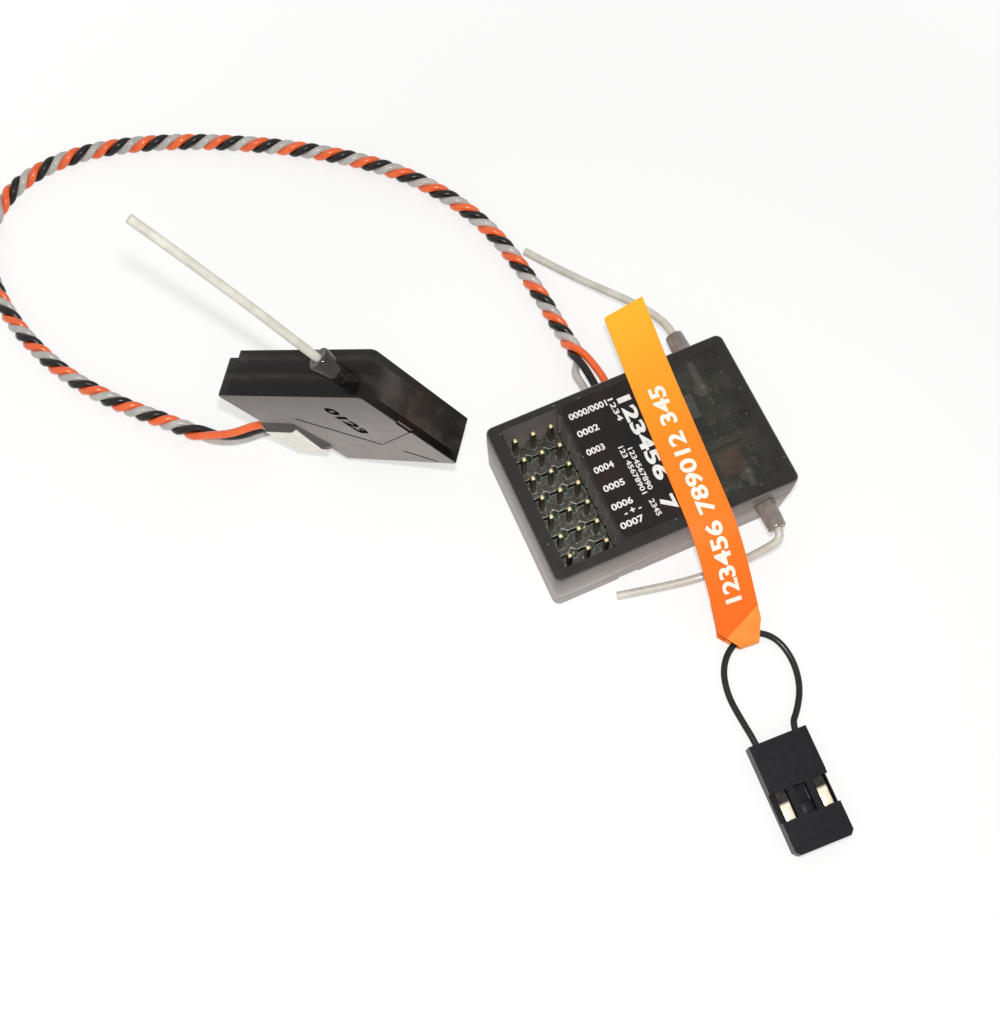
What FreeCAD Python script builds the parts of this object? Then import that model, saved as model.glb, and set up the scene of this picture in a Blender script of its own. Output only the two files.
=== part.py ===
import FreeCAD, Part

import math
import os

import Sketcher

# Radio control receiver set: a seven port receiver, its remote receiver on a twisted lead, and a bind
# plug with a pull tag. Millimetres. The origin is the middle of the receiver's base, +X runs along its
# case from the pin end to the clear end, +Y to the side that the lead leaves, and +Z is up.

document = FreeCAD.newDocument("receiver_set")
sheet = document.addObject("Spreadsheet::Sheet", "sizes")

sizeTable = {
    # receiver case
    "case_length": 33.8,
    "case_width": 22.6,
    "case_height": 10.2,
    "case_wall": 1.1,
    "case_roof": 0.9,
    "case_floor": 0.8,
    "case_corner": 1.0,
    "case_edge": 0.35,
    "end_draft": 0.8,
    "seam_low": 2.45,
    "seam_middle": 4.45,
    "seam_high": 6.35,
    "ramp_inset": 8.4,
    "ramp_middle": 1.5,
    "ramp_outset": 9.7,
    "lip_height": 0.6,
    "lip_thickness": 0.5,
    "lip_gap": 0.05,
    "overlap": 0.2,
    "pry_inset": 10.5,
    "pry_width": 2.9,
    "pry_height": 0.7,
    "pry_depth": 1.3,
    "groove_height": 0.13,
    "groove_inset": 0.16,
    # pin well and headers
    "pin_inset": 5.8,
    "pin_spacing": 2.54,
    "pin_side": 0.64,
    "pin_tip_height": 8.9,
    "pin_point": 0.15,
    "pin_tail": 0.6,
    "pin_gap": 0.01,
    "row_rear": 0.12,
    "row_front": 0.76,
    "strip_block": 2.5,
    "strip_gap": 0.336,
    "strip_notch": 0.55,
    "strip_height": 1.9,
    "well_width": 7.7,
    "well_sill": 0.45,
    "key_width": 1.3,
    "key_depth": 0.35,
    "key_mouth": 0.3,
    "skirt_bottom": 4.4,
    "skirt_thickness": 0.9,
    # label
    "label_inset": 10.15,
    "label_outset": 13.5,
    "label_front": 1.95,
    "label_rear": 1.0,
    "label_corner": 0.9,
    "label_film": 0.2,
    "label_recess": 0.15,
    "label_gap": 0.08,
    # boards and what they carry
    "board_thickness": 0.8,
    "board_height": 1.5,
    "board_gap": 0.35,
    "main_board_outset": 8.9,
    "radio_board_outset": 13.3,
    "radio_board_side": 1.2,
    "radio_board_gap": 0.7,
    "post_radius": 0.8,
    "post_inset": 1.6,
    "board_post_back": 4.8,
    "board_post_front": 3.2,
    "link_depth": 2.0,
    "link_length": 12.7,
    "link_inset": 0.8,
    "processor_size": 7.0,
    "processor_height": 1.0,
    "processor_forward": 5.2,
    "processor_along": 2.3,
    "regulator_length": 3.0,
    "regulator_width": 1.6,
    "regulator_height": 1.3,
    "regulator_along": 0.4,
    "regulator_forward": 1.2,
    "capacitor_radius": 1.5,
    "capacitor_height": 2.6,
    "capacitor_along": 1.2,
    "capacitor_back": 6.6,
    "radio_chip_size": 3.6,
    "radio_chip_height": 0.8,
    "radio_chip_along": 4.6,
    "radio_chip_forward": 4.5,
    "shield_length": 4.6,
    "shield_width": 3.8,
    "shield_height": 1.0,
    "shield_along": 7.4,
    "shield_back": 4.6,
    "crystal_length": 2.5,
    "crystal_width": 2.0,
    "crystal_height": 0.7,
    "crystal_along": 9.6,
    "crystal_forward": 2.4,
    "lamp_length": 1.6,
    "lamp_width": 0.8,
    "lamp_height": 0.7,
    "lamp_along": 9.5,
    "lamp_forward": 7.2,
    # lead socket and plugs
    "socket_centre": 0.25,
    "socket_width": 6.6,
    "socket_depth": 4.4,
    "socket_height": 3.4,
    "socket_wall": 0.55,
    "socket_back": 1.2,
    "plug_gap": 0.05,
    "plug_seat": 0.1,
    "plug_length": 4.3,
    "lead_slot_width": 5.9,
    "lead_slot_margin": 0.1,
    # antennas
    "antenna_diameter": 1.1,
    "antenna_inset": 4.5,
    "antenna_solder": 6.9,
    "boot_radius": 1.25,
    "boot_length": 3.75,
    "boot_neck": 0.95,
    "boot_flange": 1.35,
    "boot_flange_length": 0.5,
    "boot_edge": 0.25,
    "boot_gap": 0.03,
    "remote_boot_flare": 1.5,
    "remote_boot_root": 0.6,
    "boot_bore_reach": 2.0,
    # remote receiver
    "remote_length": 23.5,
    "remote_width": 20.6,
    "remote_height": 6.1,
    "remote_wall": 0.9,
    "remote_skin": 0.7,
    "remote_corner": 0.7,
    "remote_edge": 0.25,
    "remote_seam": 2.7,
    "remote_step": 1.9,
    "remote_step_height": 1.0,
    "remote_board_height": 1.9,
    "remote_board_gap": 0.3,
    "remote_post_radius": 0.8,
    "remote_post_inset": 2.2,
    "remote_socket_y": -3.1,
    "remote_socket_out": 0.2,
    "remote_socket_width": 7.0,
    "remote_socket_depth": 5.3,
    "remote_socket_height": 4.2,
    "remote_plug_length": 5.2,
    "remote_socket_gap": 0.1,
    "ridge_height": 0.8,
    "ridge_taper": 55,
    "ridge_foot": 1.3,
    "remote_antenna_height": 3.4,
    "remote_antenna_upper": 8.0,
    "remote_antenna_lean": -0.28,
    "remote_antenna_dip": -0.165,
    "remote_antenna_lower": 6.3,
    "remote_antenna_solder": 4.8,
    "groove_depth": 0.3,
    "groove_width": 0.42,
    "groove_start_x": -4.4,
    "groove_start_y": 3.3,
    "groove_corner_x": 3.85,
    "groove_corner_y": -4.4,
    "groove_gap": 2.0,
    "groove_tail": 3.2,
    "hairline_width": 0.16,
    "side_slot_width": 0.4,
    "side_slot_length": 3.1,
    "side_slot_y": 1.45,
    "chip_size": 4.0,
    "chip_height": 0.9,
    "chip_x": 2.6,
    "chip_y": -3.2,
    "remote_crystal_x": -2.0,
    "remote_crystal_y": 5.4,
    "remote_lamp_x": 8.6,
    "remote_lamp_y": 1.0,
    # pose of the remote receiver, tipped up on its corner
    "remote_x": -30.44,
    "remote_y": 21.83,
    "remote_z": 14.92,
    "remote_yaw": -39.95,
    "remote_pitch": -29.07,
    "remote_roll": 94.8,
    # lead
    "lead_diameter": 2.3,
    "lead_straight": 5.2,
    "remote_lead_straight": 3.0,
    # bind plug
    "bind_x": 0.95,
    "bind_y": -38.15,
    "bind_yaw": -2.6,
    "bind_width": 7.7,
    "bind_length": 14.0,
    "bind_height": 2.6,
    "bind_step": 5.7,
    "bind_step_height": 0.12,
    "bind_window_start": 6.2,
    "bind_window_length": 3.6,
    "bind_window_width": 1.7,
    "bind_bore": 1.35,
    "bind_corner": 0.55,
    "bind_wire_bore": 1.2,
    "bind_rib": 0.45,
    "contact_side": 1.05,
    "contact_sheet": 0.2,
    "contact_length": 8.6,
    "contact_start": 2.6,
    "wire_diameter": 0.85,
    # pull tag
    "tag_width": 5.85,
    "tag_film": 0.22,
    "tag_x": 5.0,
    "tag_yaw": 4.6,
    "tag_rear": 20.0,
    "tag_rear_rise": 1.1,
    "tag_lift": 0.05,
    "tag_fold_y": -26.6,
    "tag_corner": 0.25,
    "tag_slant": 1.25,
}

rowCount = 7
pinsPerRow = 3
for line, (alias, number) in enumerate(sizeTable.items(), start=1):
    sheet.set(f"A{line}", alias)
    sheet.set(f"B{line}", str(number))
    sheet.setAlias(f"B{line}", alias)
document.recompute()


def size(alias):
    """One driving size, read from the sheet."""
    return float(sheet.get(alias))


def linked(alias):
    """The text that refers to one size of the sheet in a formula."""
    return f"sizes.{alias}"


# Shared text of formulas: places that several pieces line up with.
boardTop = "(sizes.board_height + sizes.board_thickness)"
radioBoardTop = "(sizes.seam_high - sizes.antenna_diameter / 2)"
radioBoardBottom = f"({radioBoardTop} - sizes.board_thickness)"
stripTop = f"({boardTop} + sizes.strip_height)"
innerX = "(sizes.case_length / 2 - sizes.case_wall)"
innerY = "(sizes.case_width / 2 - sizes.case_wall)"
remoteBoardTop = "(sizes.remote_board_height + sizes.board_thickness)"
pinColumn = "(sizes.pin_inset - sizes.case_length / 2)"
stripEnd = f"({pinColumn} + sizes.pin_spacing + sizes.strip_block / 2)"
rowSpacing = f"((2 * {innerY} + sizes.strip_gap - sizes.row_rear - sizes.row_front) / {rowCount})"
stripDepth = f"({rowSpacing} - sizes.strip_gap)"
rowFirst = f"({innerY} - sizes.row_rear - {stripDepth} / 2)"
mainBoardEnd = "(sizes.case_length / 2 - sizes.main_board_outset)"
radioBoardStart = "(sizes.case_length / 2 - sizes.radio_board_outset)"
radioBoardHalf = f"({innerY} - sizes.radio_board_side)"
antennaX = "(sizes.case_length / 2 - sizes.antenna_inset)"
linkStart = f"({radioBoardStart} + sizes.link_inset)"


def newBody(label):
    body = document.addObject("PartDesign::Body", label)
    body.Label = label
    return body


def newSketch(body, plane, name, height="0"):
    """A sketch on one origin plane of its own body, moved along the plane's normal."""
    sketch = body.newObject("Sketcher::SketchObject", name)
    support = [feature for feature in body.Origin.OriginFeatures if feature.Role == plane][0]
    sketch.AttachmentSupport = [(support, "")]
    sketch.MapMode = "FlatFace"
    sketch.setExpression(".AttachmentOffset.Base.z", height)
    return sketch


def place(sketch, geometry, vertex, x, y, tag):
    """Ties one vertex to the origin by two formulas."""
    point = sketch.getPoint(geometry, vertex)
    for kind, formula, now in (("DistanceX", x, point.x), ("DistanceY", y, point.y)):
        constraint = Sketcher.Constraint(kind, -1, 1, geometry, vertex, now)
        number = sketch.addConstraint(constraint)
        name = f"{tag}_{kind[-1].lower()}"
        sketch.renameConstraint(number, name)
        sketch.setExpression(f"Constraints.{name}", formula)


def outline(sketch, corners):
    """A closed line through corners, each a pair of formulas."""
    first = sketch.GeometryCount
    count = len(corners)
    turn = 2 * math.pi / count
    around = [FreeCAD.Vector(5 * math.cos(turn * n), 5 * math.sin(turn * n), 0) for n in range(count)]
    for n in range(count):
        sketch.addGeometry(Part.LineSegment(around[n], around[(n + 1) % count]), False)
    for n in range(count):
        sketch.addConstraint(Sketcher.Constraint("Coincident", first + n, 2, first + (n + 1) % count, 1))
    for n, (x, y) in enumerate(corners):
        place(sketch, first + n, 1, x, y, f"corner{first + n}")


def box(sketch, left, right, low, high):
    outline(sketch, [(left, low), (right, low), (right, high), (left, high)])


def circle(sketch, x, y, radius):
    number = sketch.GeometryCount
    sketch.addGeometry(Part.Circle(FreeCAD.Vector(1, 1, 0), FreeCAD.Vector(0, 0, 1), 1), False)
    place(sketch, number, 3, x, y, f"centre{number}")
    constraint = sketch.addConstraint(Sketcher.Constraint("Radius", number, 1.0))
    sketch.renameConstraint(constraint, f"radius{number}")
    sketch.setExpression(f"Constraints.radius{number}", radius)


def grow(body, kind, sketch, length, middle=False, back=False):
    """A pad or pocket of a sketch, checked by what it does to the volume."""
    before = body.Shape.Volume if body.Tip is not None else 0.0
    feature = body.newObject(f"PartDesign::{kind}", f"{kind}_{sketch.Name}")
    feature.Profile = sketch
    if middle:
        feature.Midplane = True
    feature.Reversed = back
    feature.setExpression("Length", length)
    document.recompute()
    change = feature.Shape.Volume - before
    if (kind == "Pad") != (change > 0) or abs(change) < 1e-6:
        raise ValueError(f"{body.Label}: {feature.Name} changes the volume by {change:.4f}")
    return feature


def edgesWhere(feature, test):
    """Names of the straight edges for which test(start, end) holds."""
    names = []
    for number, edge in enumerate(feature.Shape.Edges, start=1):
        if len(edge.Vertexes) == 2 and test(edge.Vertexes[0].Point, edge.Vertexes[1].Point):
            names.append(f"Edge{number}")
    return names


def near(one, other, tolerance=1e-3):
    return abs(one - other) < tolerance


def soften(body, kind, feature, names, alias):
    """A fillet or chamfer on named edges of the last feature."""
    dressed = body.newObject(f"PartDesign::{kind}", f"{kind}_{feature.Name}")
    dressed.Base = (feature, names)
    dressed.setExpression("Radius" if kind == "Fillet" else "Size", alias)
    document.recompute()
    return dressed


def upright(start, end):
    return near(start.x, end.x) and near(start.y, end.y) and not near(start.z, end.z)


# Receiver case: both shells come from the same side profile, split along a seam that ramps up.
seamLine = [
    ("-sizes.case_length / 2", "sizes.seam_low"),
    ("sizes.ramp_inset - sizes.case_length / 2", "sizes.seam_low"),
    ("sizes.ramp_middle", "sizes.seam_middle"),
    ("sizes.case_length / 2 - sizes.ramp_outset", "sizes.seam_high"),
    ("sizes.case_length / 2", "sizes.seam_high"),
]


def seamPath(inset, rise):
    """The seam moved in from the ends and up, for the lip that locates the shells."""
    points = []
    for number, (x, z) in enumerate(seamLine):
        if number == 0:
            x = f"{x} + {inset}"
        if number == len(seamLine) - 1:
            x = f"{x} - ({inset})"
        points.append((x, f"{z} + {rise}"))
    return points


def antennaHoles(body, radius):
    """Round holes through both long walls, where the antenna boots sit on the seam."""
    holes = newSketch(body, "XZ_Plane", "AntennaHoles")
    circle(holes, antennaX, linked("seam_high"), radius)
    return grow(body, "Pocket", holes, "sizes.case_width * 1.5", middle=True)


def leadSlot(body):
    """The opening in the rear wall for the lead's plug."""
    slot = newSketch(body, "XZ_Plane", "LeadSlot", "-sizes.case_width / 2 - 1")
    low = f"{boardTop} + sizes.socket_wall - sizes.lead_slot_margin"
    high = f"{boardTop} + sizes.socket_height - sizes.socket_wall + sizes.lead_slot_margin"
    half = "sizes.lead_slot_width / 2"
    box(slot, f"sizes.socket_centre - {half}", f"sizes.socket_centre + {half}", low, high)
    return grow(body, "Pocket", slot, "sizes.case_wall + 1.5", back=True)


def roundCase(body, feature):
    """Rounds the four upright corners of a shell."""
    half = size("case_width") / 2
    corner = edgesWhere(
        feature,
        lambda start, end: near(abs(start.y), half) and near(start.y, end.y)
        and min(abs(start.x), abs(end.x)) > size("case_length") / 3 and abs(start.z - end.z) > 1,
    )
    return soften(body, "Fillet", feature, corner, linked("case_corner"))


labelLeft = "(sizes.label_inset - sizes.case_length / 2)"
labelRight = "(sizes.case_length / 2 - sizes.label_outset)"
labelFront = "(sizes.label_front - sizes.case_width / 2)"
labelRear = "(sizes.case_width / 2 - sizes.label_rear)"


def seamGroove(body):
    """A fine open joint along the top shell's lower edge, on all four sides."""
    rise = linked("groove_height")
    path = seamLine + [(x, f"{z} + {rise}") for x, z in reversed(seamLine)]
    outside = "(sizes.case_width / 2 + 1)"
    for name, plane, back in (("GrooveFront", outside, False), ("GrooveRear", f"-{outside}", True)):
        band = newSketch(body, "XZ_Plane", name, plane)
        outline(band, path)
        grow(body, "Pocket", band, "sizes.groove_inset + 1", back=back)
    ends = newSketch(body, "XZ_Plane", "GrooveEnds")
    inset = "sizes.case_length / 2 - sizes.groove_inset"
    beyond = "sizes.case_length / 2 + 1"
    box(ends, f"-({beyond})", f"-({inset})", "sizes.seam_low - 1", f"sizes.seam_low + {rise}")
    box(ends, inset, beyond, "sizes.seam_high - 1", f"sizes.seam_high + {rise}")
    grow(body, "Pocket", ends, "sizes.case_width * 1.5", middle=True)


def makeTopShell():
    body = newBody("top_shell")
    side = newSketch(body, "XZ_Plane", "TopSide")
    roof = [("sizes.case_length / 2", "sizes.case_height"), ("-sizes.case_length / 2", "sizes.case_height")]
    outline(side, seamLine + roof)
    block = grow(body, "Pad", side, linked("case_width"), middle=True)
    block = roundCase(body, block)
    height = size("case_height")
    rim = edgesWhere(block, lambda start, end: near(start.z, height) and near(end.z, height))
    soften(body, "Fillet", block, rim[:1], linked("case_edge"))
    hollow = newSketch(body, "XZ_Plane", "TopHollow")
    box(hollow, f"-{innerX}", innerX, "0", "sizes.case_height - sizes.case_roof")
    grow(body, "Pocket", hollow, f"2 * {innerY}", middle=True)
    rebate = newSketch(body, "XZ_Plane", "TopRebate")
    inset = f"{innerX} + sizes.lip_thickness + sizes.lip_gap"
    fromEnd = "sizes.case_wall - sizes.lip_thickness - sizes.lip_gap"
    path = seamPath(fromEnd, "sizes.lip_height + sizes.lip_gap")
    outline(rebate, path + [(inset, "0"), (f"-({inset})", "0")])
    grow(body, "Pocket", rebate, f"2 * ({innerY} + sizes.lip_thickness + sizes.lip_gap)", middle=True)
    antennaHoles(body, "sizes.boot_neck + sizes.boot_gap")
    leadSlot(body)
    # The pin well is open from above, with one small key notch beside each row.
    well = newSketch(body, "XY_Plane", "PinWell", "sizes.case_height + 1")
    wellLeft = f"{pinColumn} - sizes.well_width / 2"
    wellRight = f"{pinColumn} + sizes.well_width / 2"
    box(well, wellLeft, wellRight, f"sizes.well_sill - {innerY}", innerY)
    grow(body, "Pocket", well, "sizes.case_roof + 1.5")
    # A skirt hangs down beside the rows, so that a plug turned the wrong way can't go in.
    skirt = newSketch(body, "XY_Plane", "WellSkirt", linked("skirt_bottom"))
    skirtEnd = f"{innerY} + sizes.overlap"
    box(skirt, wellRight, f"{wellRight} + sizes.skirt_thickness", f"-({skirtEnd})", skirtEnd)
    grow(body, "Pad", skirt, "sizes.case_height - sizes.case_roof / 2 - sizes.skirt_bottom")
    key = newSketch(body, "XY_Plane", "KeyNotch", "sizes.case_height + 1")
    outline(
        key,
        [
            (f"{wellRight} - sizes.key_mouth", f"{rowFirst} - sizes.key_width / 2"),
            (f"{wellRight} + sizes.key_depth", rowFirst),
            (f"{wellRight} - sizes.key_mouth", f"{rowFirst} + sizes.key_width / 2"),
        ],
    )
    notch = grow(body, "Pocket", key, "sizes.case_height + 1 - sizes.skirt_bottom + 0.1")
    keys = body.newObject("PartDesign::LinearPattern", "KeyNotches")
    keys.Originals = [notch]
    keys.Direction = (key, ["V_Axis"])
    keys.Reversed = True
    keys.setExpression("Length", f"{rowSpacing} * {rowCount - 1}")
    keys.Occurrences = rowCount
    body.Tip = keys
    document.recompute()
    recess = newSketch(body, "XY_Plane", "LabelRecess", "sizes.case_height + 1")
    box(recess, labelLeft, labelRight, labelFront, labelRear)
    grow(body, "Pocket", recess, "sizes.label_recess + 1")
    # A short rib stiffens the clear end, seen as a dark bar through the roof.
    rib = newSketch(body, "XY_Plane", "EndRib", "sizes.case_height - sizes.case_roof")
    box(rib, f"{innerX} - sizes.post_inset", f"{innerX} + sizes.overlap", "0", "sizes.post_radius")
    grow(body, "Pad", rib, "sizes.post_radius * 2", back=True)
    seamGroove(body)
    return body


def makeBottomShell():
    body = newBody("bottom_shell")
    side = newSketch(body, "XZ_Plane", "BottomSide")
    foot = [("sizes.case_length / 2 - sizes.end_draft", "0"), ("-sizes.case_length / 2", "0")]
    outline(side, seamLine + foot)
    block = grow(body, "Pad", side, linked("case_width"), middle=True)
    roundCase(body, block)
    lip = newSketch(body, "XZ_Plane", "Lip")
    inset = f"{innerX} + sizes.lip_thickness"
    low = "sizes.seam_low / 2"
    path = seamPath("sizes.case_wall - sizes.lip_thickness", "sizes.lip_height")
    outline(lip, path + [(inset, "sizes.seam_high - sizes.lip_height"), (f"-({inset})", low)])
    grow(body, "Pad", lip, f"2 * ({innerY} + sizes.lip_thickness)", middle=True)
    hollow = newSketch(body, "XZ_Plane", "BottomHollow")
    box(hollow, f"-{innerX}", innerX, linked("case_floor"), "sizes.case_height")
    grow(body, "Pocket", hollow, f"2 * {innerY}", middle=True)
    antennaHoles(body, "sizes.boot_neck + sizes.boot_gap")
    leadSlot(body)
    pry = newSketch(body, "XZ_Plane", "PrySlot", "sizes.case_width / 2 + 1")
    half = "sizes.pry_width / 2"
    middle = "sizes.pry_inset - sizes.case_length / 2"
    box(pry, f"{middle} - {half}", f"{middle} + {half}", "-1", linked("pry_height"))
    grow(body, "Pocket", pry, "sizes.pry_depth + 1 - sizes.case_wall / 2")
    posts = newSketch(body, "XY_Plane", "BoardPosts", linked("case_floor"))
    for x in (f"{pinColumn} + sizes.board_post_back", f"{mainBoardEnd} - sizes.board_post_front"):
        for y in (f"-({innerY} - sizes.post_inset)", f"{innerY} - sizes.post_inset"):
            circle(posts, x, y, linked("post_radius"))
    grow(body, "Pad", posts, "sizes.board_height - sizes.case_floor")
    tall = newSketch(body, "XY_Plane", "RadioPosts", linked("case_floor"))
    for y in (f"sizes.post_inset - {radioBoardHalf}", f"{radioBoardHalf} - sizes.post_inset"):
        circle(tall, f"{innerX} - sizes.radio_board_gap - sizes.post_inset", y, linked("post_radius"))
    grow(body, "Pad", tall, f"{radioBoardBottom} - sizes.case_floor")
    return body


def makeLabel():
    body = newBody("label")
    film = newSketch(body, "XY_Plane", "Film", "sizes.case_height - sizes.label_recess")
    gap = "sizes.label_gap"
    left, right = f"{labelLeft} + {gap}", f"{labelRight} - {gap}"
    box(film, left, right, f"{labelFront} + {gap}", f"{labelRear} - {gap}")
    plate = grow(body, "Pad", film, linked("label_film"))
    soften(body, "Fillet", plate, edgesWhere(plate, upright), linked("label_corner"))
    return body


# Circuit boards and the components that show through the clear case.
def makeBoard(label, left, right, low, high, bottom, thickness=linked("board_thickness")):
    body = newBody(label)
    flat = newSketch(body, "XY_Plane", f"{label}_flat", bottom)
    box(flat, left, right, low, high)
    grow(body, "Pad", flat, thickness)
    return body


def makeMainBoard():
    body = makeBoard(
        "main_board",
        f"-{innerX} + sizes.board_gap",
        mainBoardEnd,
        f"-{innerY} + sizes.board_gap",
        f"{innerY} - sizes.board_gap",
        linked("board_height"),
    )
    # One square hole for each header pin.
    holes = newSketch(body, "XY_Plane", "PinHoles", f"{boardTop} + 1")
    half = "(sizes.pin_side / 2 + sizes.pin_gap)"
    for row in range(rowCount):
        y = f"{rowFirst} - {rowSpacing} * {row}"
        for column in range(pinsPerRow):
            x = f"{pinColumn} + sizes.pin_spacing * {column - 1}"
            box(holes, f"{x} - {half}", f"{x} + {half}", f"{y} - {half}", f"{y} + {half}")
    grow(body, "Pocket", holes, "sizes.board_thickness + 2")
    return body


def makeRadioBoard():
    return makeBoard(
        "radio_board",
        radioBoardStart,
        f"{innerX} - sizes.radio_board_gap",
        f"-{radioBoardHalf}",
        radioBoardHalf,
        radioBoardBottom,
    )


def makeBlock(label, spot, sides, bottom, height, chamfered=True):
    """A component that stands on bottom, centred at spot. Plain names are sizes of the sheet."""
    given = (*spot, *sides, height)
    x, y, length, width, rise = (linked(text) if text in sizeTable else text for text in given)
    body = newBody(label)
    flat = newSketch(body, "XY_Plane", f"{label}_flat", bottom)
    box(flat, f"{x} - {length} / 2", f"{x} + {length} / 2", f"{y} - {width} / 2", f"{y} + {width} / 2")
    pad = grow(body, "Pad", flat, rise)
    if chamfered:
        top = max(vertex.Point.z for vertex in pad.Shape.Vertexes)
        upper = edgesWhere(pad, lambda start, end: near(start.z, top) and near(end.z, top))
        soften(body, "Chamfer", pad, upper, f"{rise} / 7")
    return body


def makeCapacitor():
    body = newBody("capacitor")
    foot = newSketch(body, "XY_Plane", "Can", boardTop)
    x = f"{stripEnd} + sizes.capacitor_along + sizes.capacitor_radius"
    circle(foot, x, linked("capacitor_back"), linked("capacitor_radius"))
    can = grow(body, "Pad", foot, linked("capacitor_height"))
    aboveBoard = size("board_height") + size("board_thickness") + size("capacitor_height") / 2
    rim = []
    for number, edge in enumerate(can.Shape.Edges, start=1):
        if edge.isClosed() and edge.Vertexes[0].Z > aboveBoard:
            rim.append(f"Edge{number}")
    soften(body, "Fillet", can, rim, "sizes.capacitor_radius / 6")
    return body


# Pin headers: a strip of three octagonal blocks for each port, with its three square pins.
def makeStrip(row):
    label = f"header_strip_{row + 1}"
    body = newBody(label)
    across = newSketch(body, "XY_Plane", f"{label}_outline", boardTop)
    y = f"({rowFirst} - {rowSpacing} * {row})"
    notch = "sizes.strip_notch"
    half = f"{stripDepth} / 2"
    front, rear = [], []
    for column in range(pinsPerRow):
        x = f"({pinColumn} + sizes.pin_spacing * {column - 1})"
        reach = "sizes.strip_block / 2"
        start, end = f"{x} - {reach} + {notch}", f"{x} + {reach} - {notch}"
        front += [(start, f"{y} - {half}"), (end, f"{y} - {half}")]
        rear += [(start, f"{y} + {half}"), (end, f"{y} + {half}")]
        if column < pinsPerRow - 1:
            between = f"{x} + sizes.pin_spacing / 2"
            front.append((between, f"{y} - {half} + {notch}"))
            rear.append((between, f"{y} + {half} - {notch}"))
    left = f"({pinColumn} - sizes.pin_spacing - sizes.strip_block / 2)"
    right = f"({pinColumn} + sizes.pin_spacing + sizes.strip_block / 2)"
    ends = [(right, f"{y} - {half} + {notch}"), (right, f"{y} + {half} - {notch}")]
    starts = [(left, f"{y} + {half} - {notch}"), (left, f"{y} - {half} + {notch}")]
    outline(across, front + ends + rear[::-1] + starts)
    grow(body, "Pad", across, linked("strip_height"))
    holes = newSketch(body, "XY_Plane", f"{label}_holes", f"{stripTop} + 1")
    side = "(sizes.pin_side / 2 + sizes.pin_gap)"
    for column in range(pinsPerRow):
        x = f"({pinColumn} + sizes.pin_spacing * {column - 1})"
        box(holes, f"{x} - {side}", f"{x} + {side}", f"{y} - {side}", f"{y} + {side}")
    grow(body, "Pocket", holes, "sizes.strip_height + 2")
    return body


def makePins(row):
    """Three square pins with pointed tips, one solid each."""
    pins = []
    for column in range(pinsPerRow):
        shaft = document.addObject("Part::Box", f"shaft_{row + 1}_{column + 1}")
        shaft.setExpression("Length", linked("pin_side"))
        shaft.setExpression("Width", linked("pin_side"))
        shaft.setExpression("Height", "sizes.pin_tip_height - sizes.board_height + sizes.pin_tail")
        x = f"{pinColumn} + sizes.pin_spacing * {column - 1}"
        y = f"{rowFirst} - {rowSpacing} * {row}"
        shaft.setExpression(".Placement.Base.x", f"{x} - sizes.pin_side / 2")
        shaft.setExpression(".Placement.Base.y", f"{y} - sizes.pin_side / 2")
        shaft.setExpression(".Placement.Base.z", "sizes.board_height - sizes.pin_tail")
        document.recompute()
        point = document.addObject("Part::Chamfer", f"pin_{row + 1}_{column + 1}")
        point.Base = shaft
        bevel = size("pin_point")
        tip = size("pin_tip_height")
        upper = edgesWhere(shaft, lambda start, end: near(start.z, tip) and near(end.z, tip))
        point.Edges = [(int(name[4:]), bevel, bevel) for name in upper]
        pins.append(point)
    trio = document.addObject("Part::Compound", f"header_pins_{row + 1}")
    trio.Label = f"header_pins_{row + 1}"
    trio.Links = pins
    return trio


# Lead socket and the crimp housing that plugs into it, both open at the mating side.
def makeSocket(label, family=""):
    """Stands at its own origin: x across the contacts, y out of the mating face, z up."""
    body = newBody(label)
    width, depth, height = (linked(f"{family}socket_{name}") for name in ("width", "depth", "height"))
    flat = newSketch(body, "XY_Plane", f"{label}_flat")
    box(flat, f"-{width} / 2", f"{width} / 2", f"-{depth}", "0")
    grow(body, "Pad", flat, height)
    mouth = newSketch(body, "XZ_Plane", f"{label}_mouth", "-1")
    wall = "sizes.socket_wall"
    box(mouth, f"-{width} / 2 + {wall}", f"{width} / 2 - {wall}", wall, f"{height} - {wall}")
    grow(body, "Pocket", mouth, f"{depth} - sizes.socket_back + 1", back=True)
    return body


def makePlug(label, family=""):
    """Seats in the socket, its cable end at y = plug length - socket depth + socket_back."""
    body = newBody(label)
    width, depth, height = (linked(f"{family}socket_{name}") for name in ("width", "depth", "height"))
    gap = "(2 * sizes.socket_wall + 2 * sizes.plug_gap)"
    flat = newSketch(body, "XY_Plane", f"{label}_flat", "sizes.socket_wall + sizes.plug_gap")
    seat = f"sizes.socket_back - {depth} + sizes.plug_seat"
    half = f"({width} - {gap}) / 2"
    box(flat, f"-{half}", half, seat, f"{seat} + {linked(family + 'plug_length')}")
    grow(body, "Pad", flat, f"{height} - {gap}")
    return body


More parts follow.
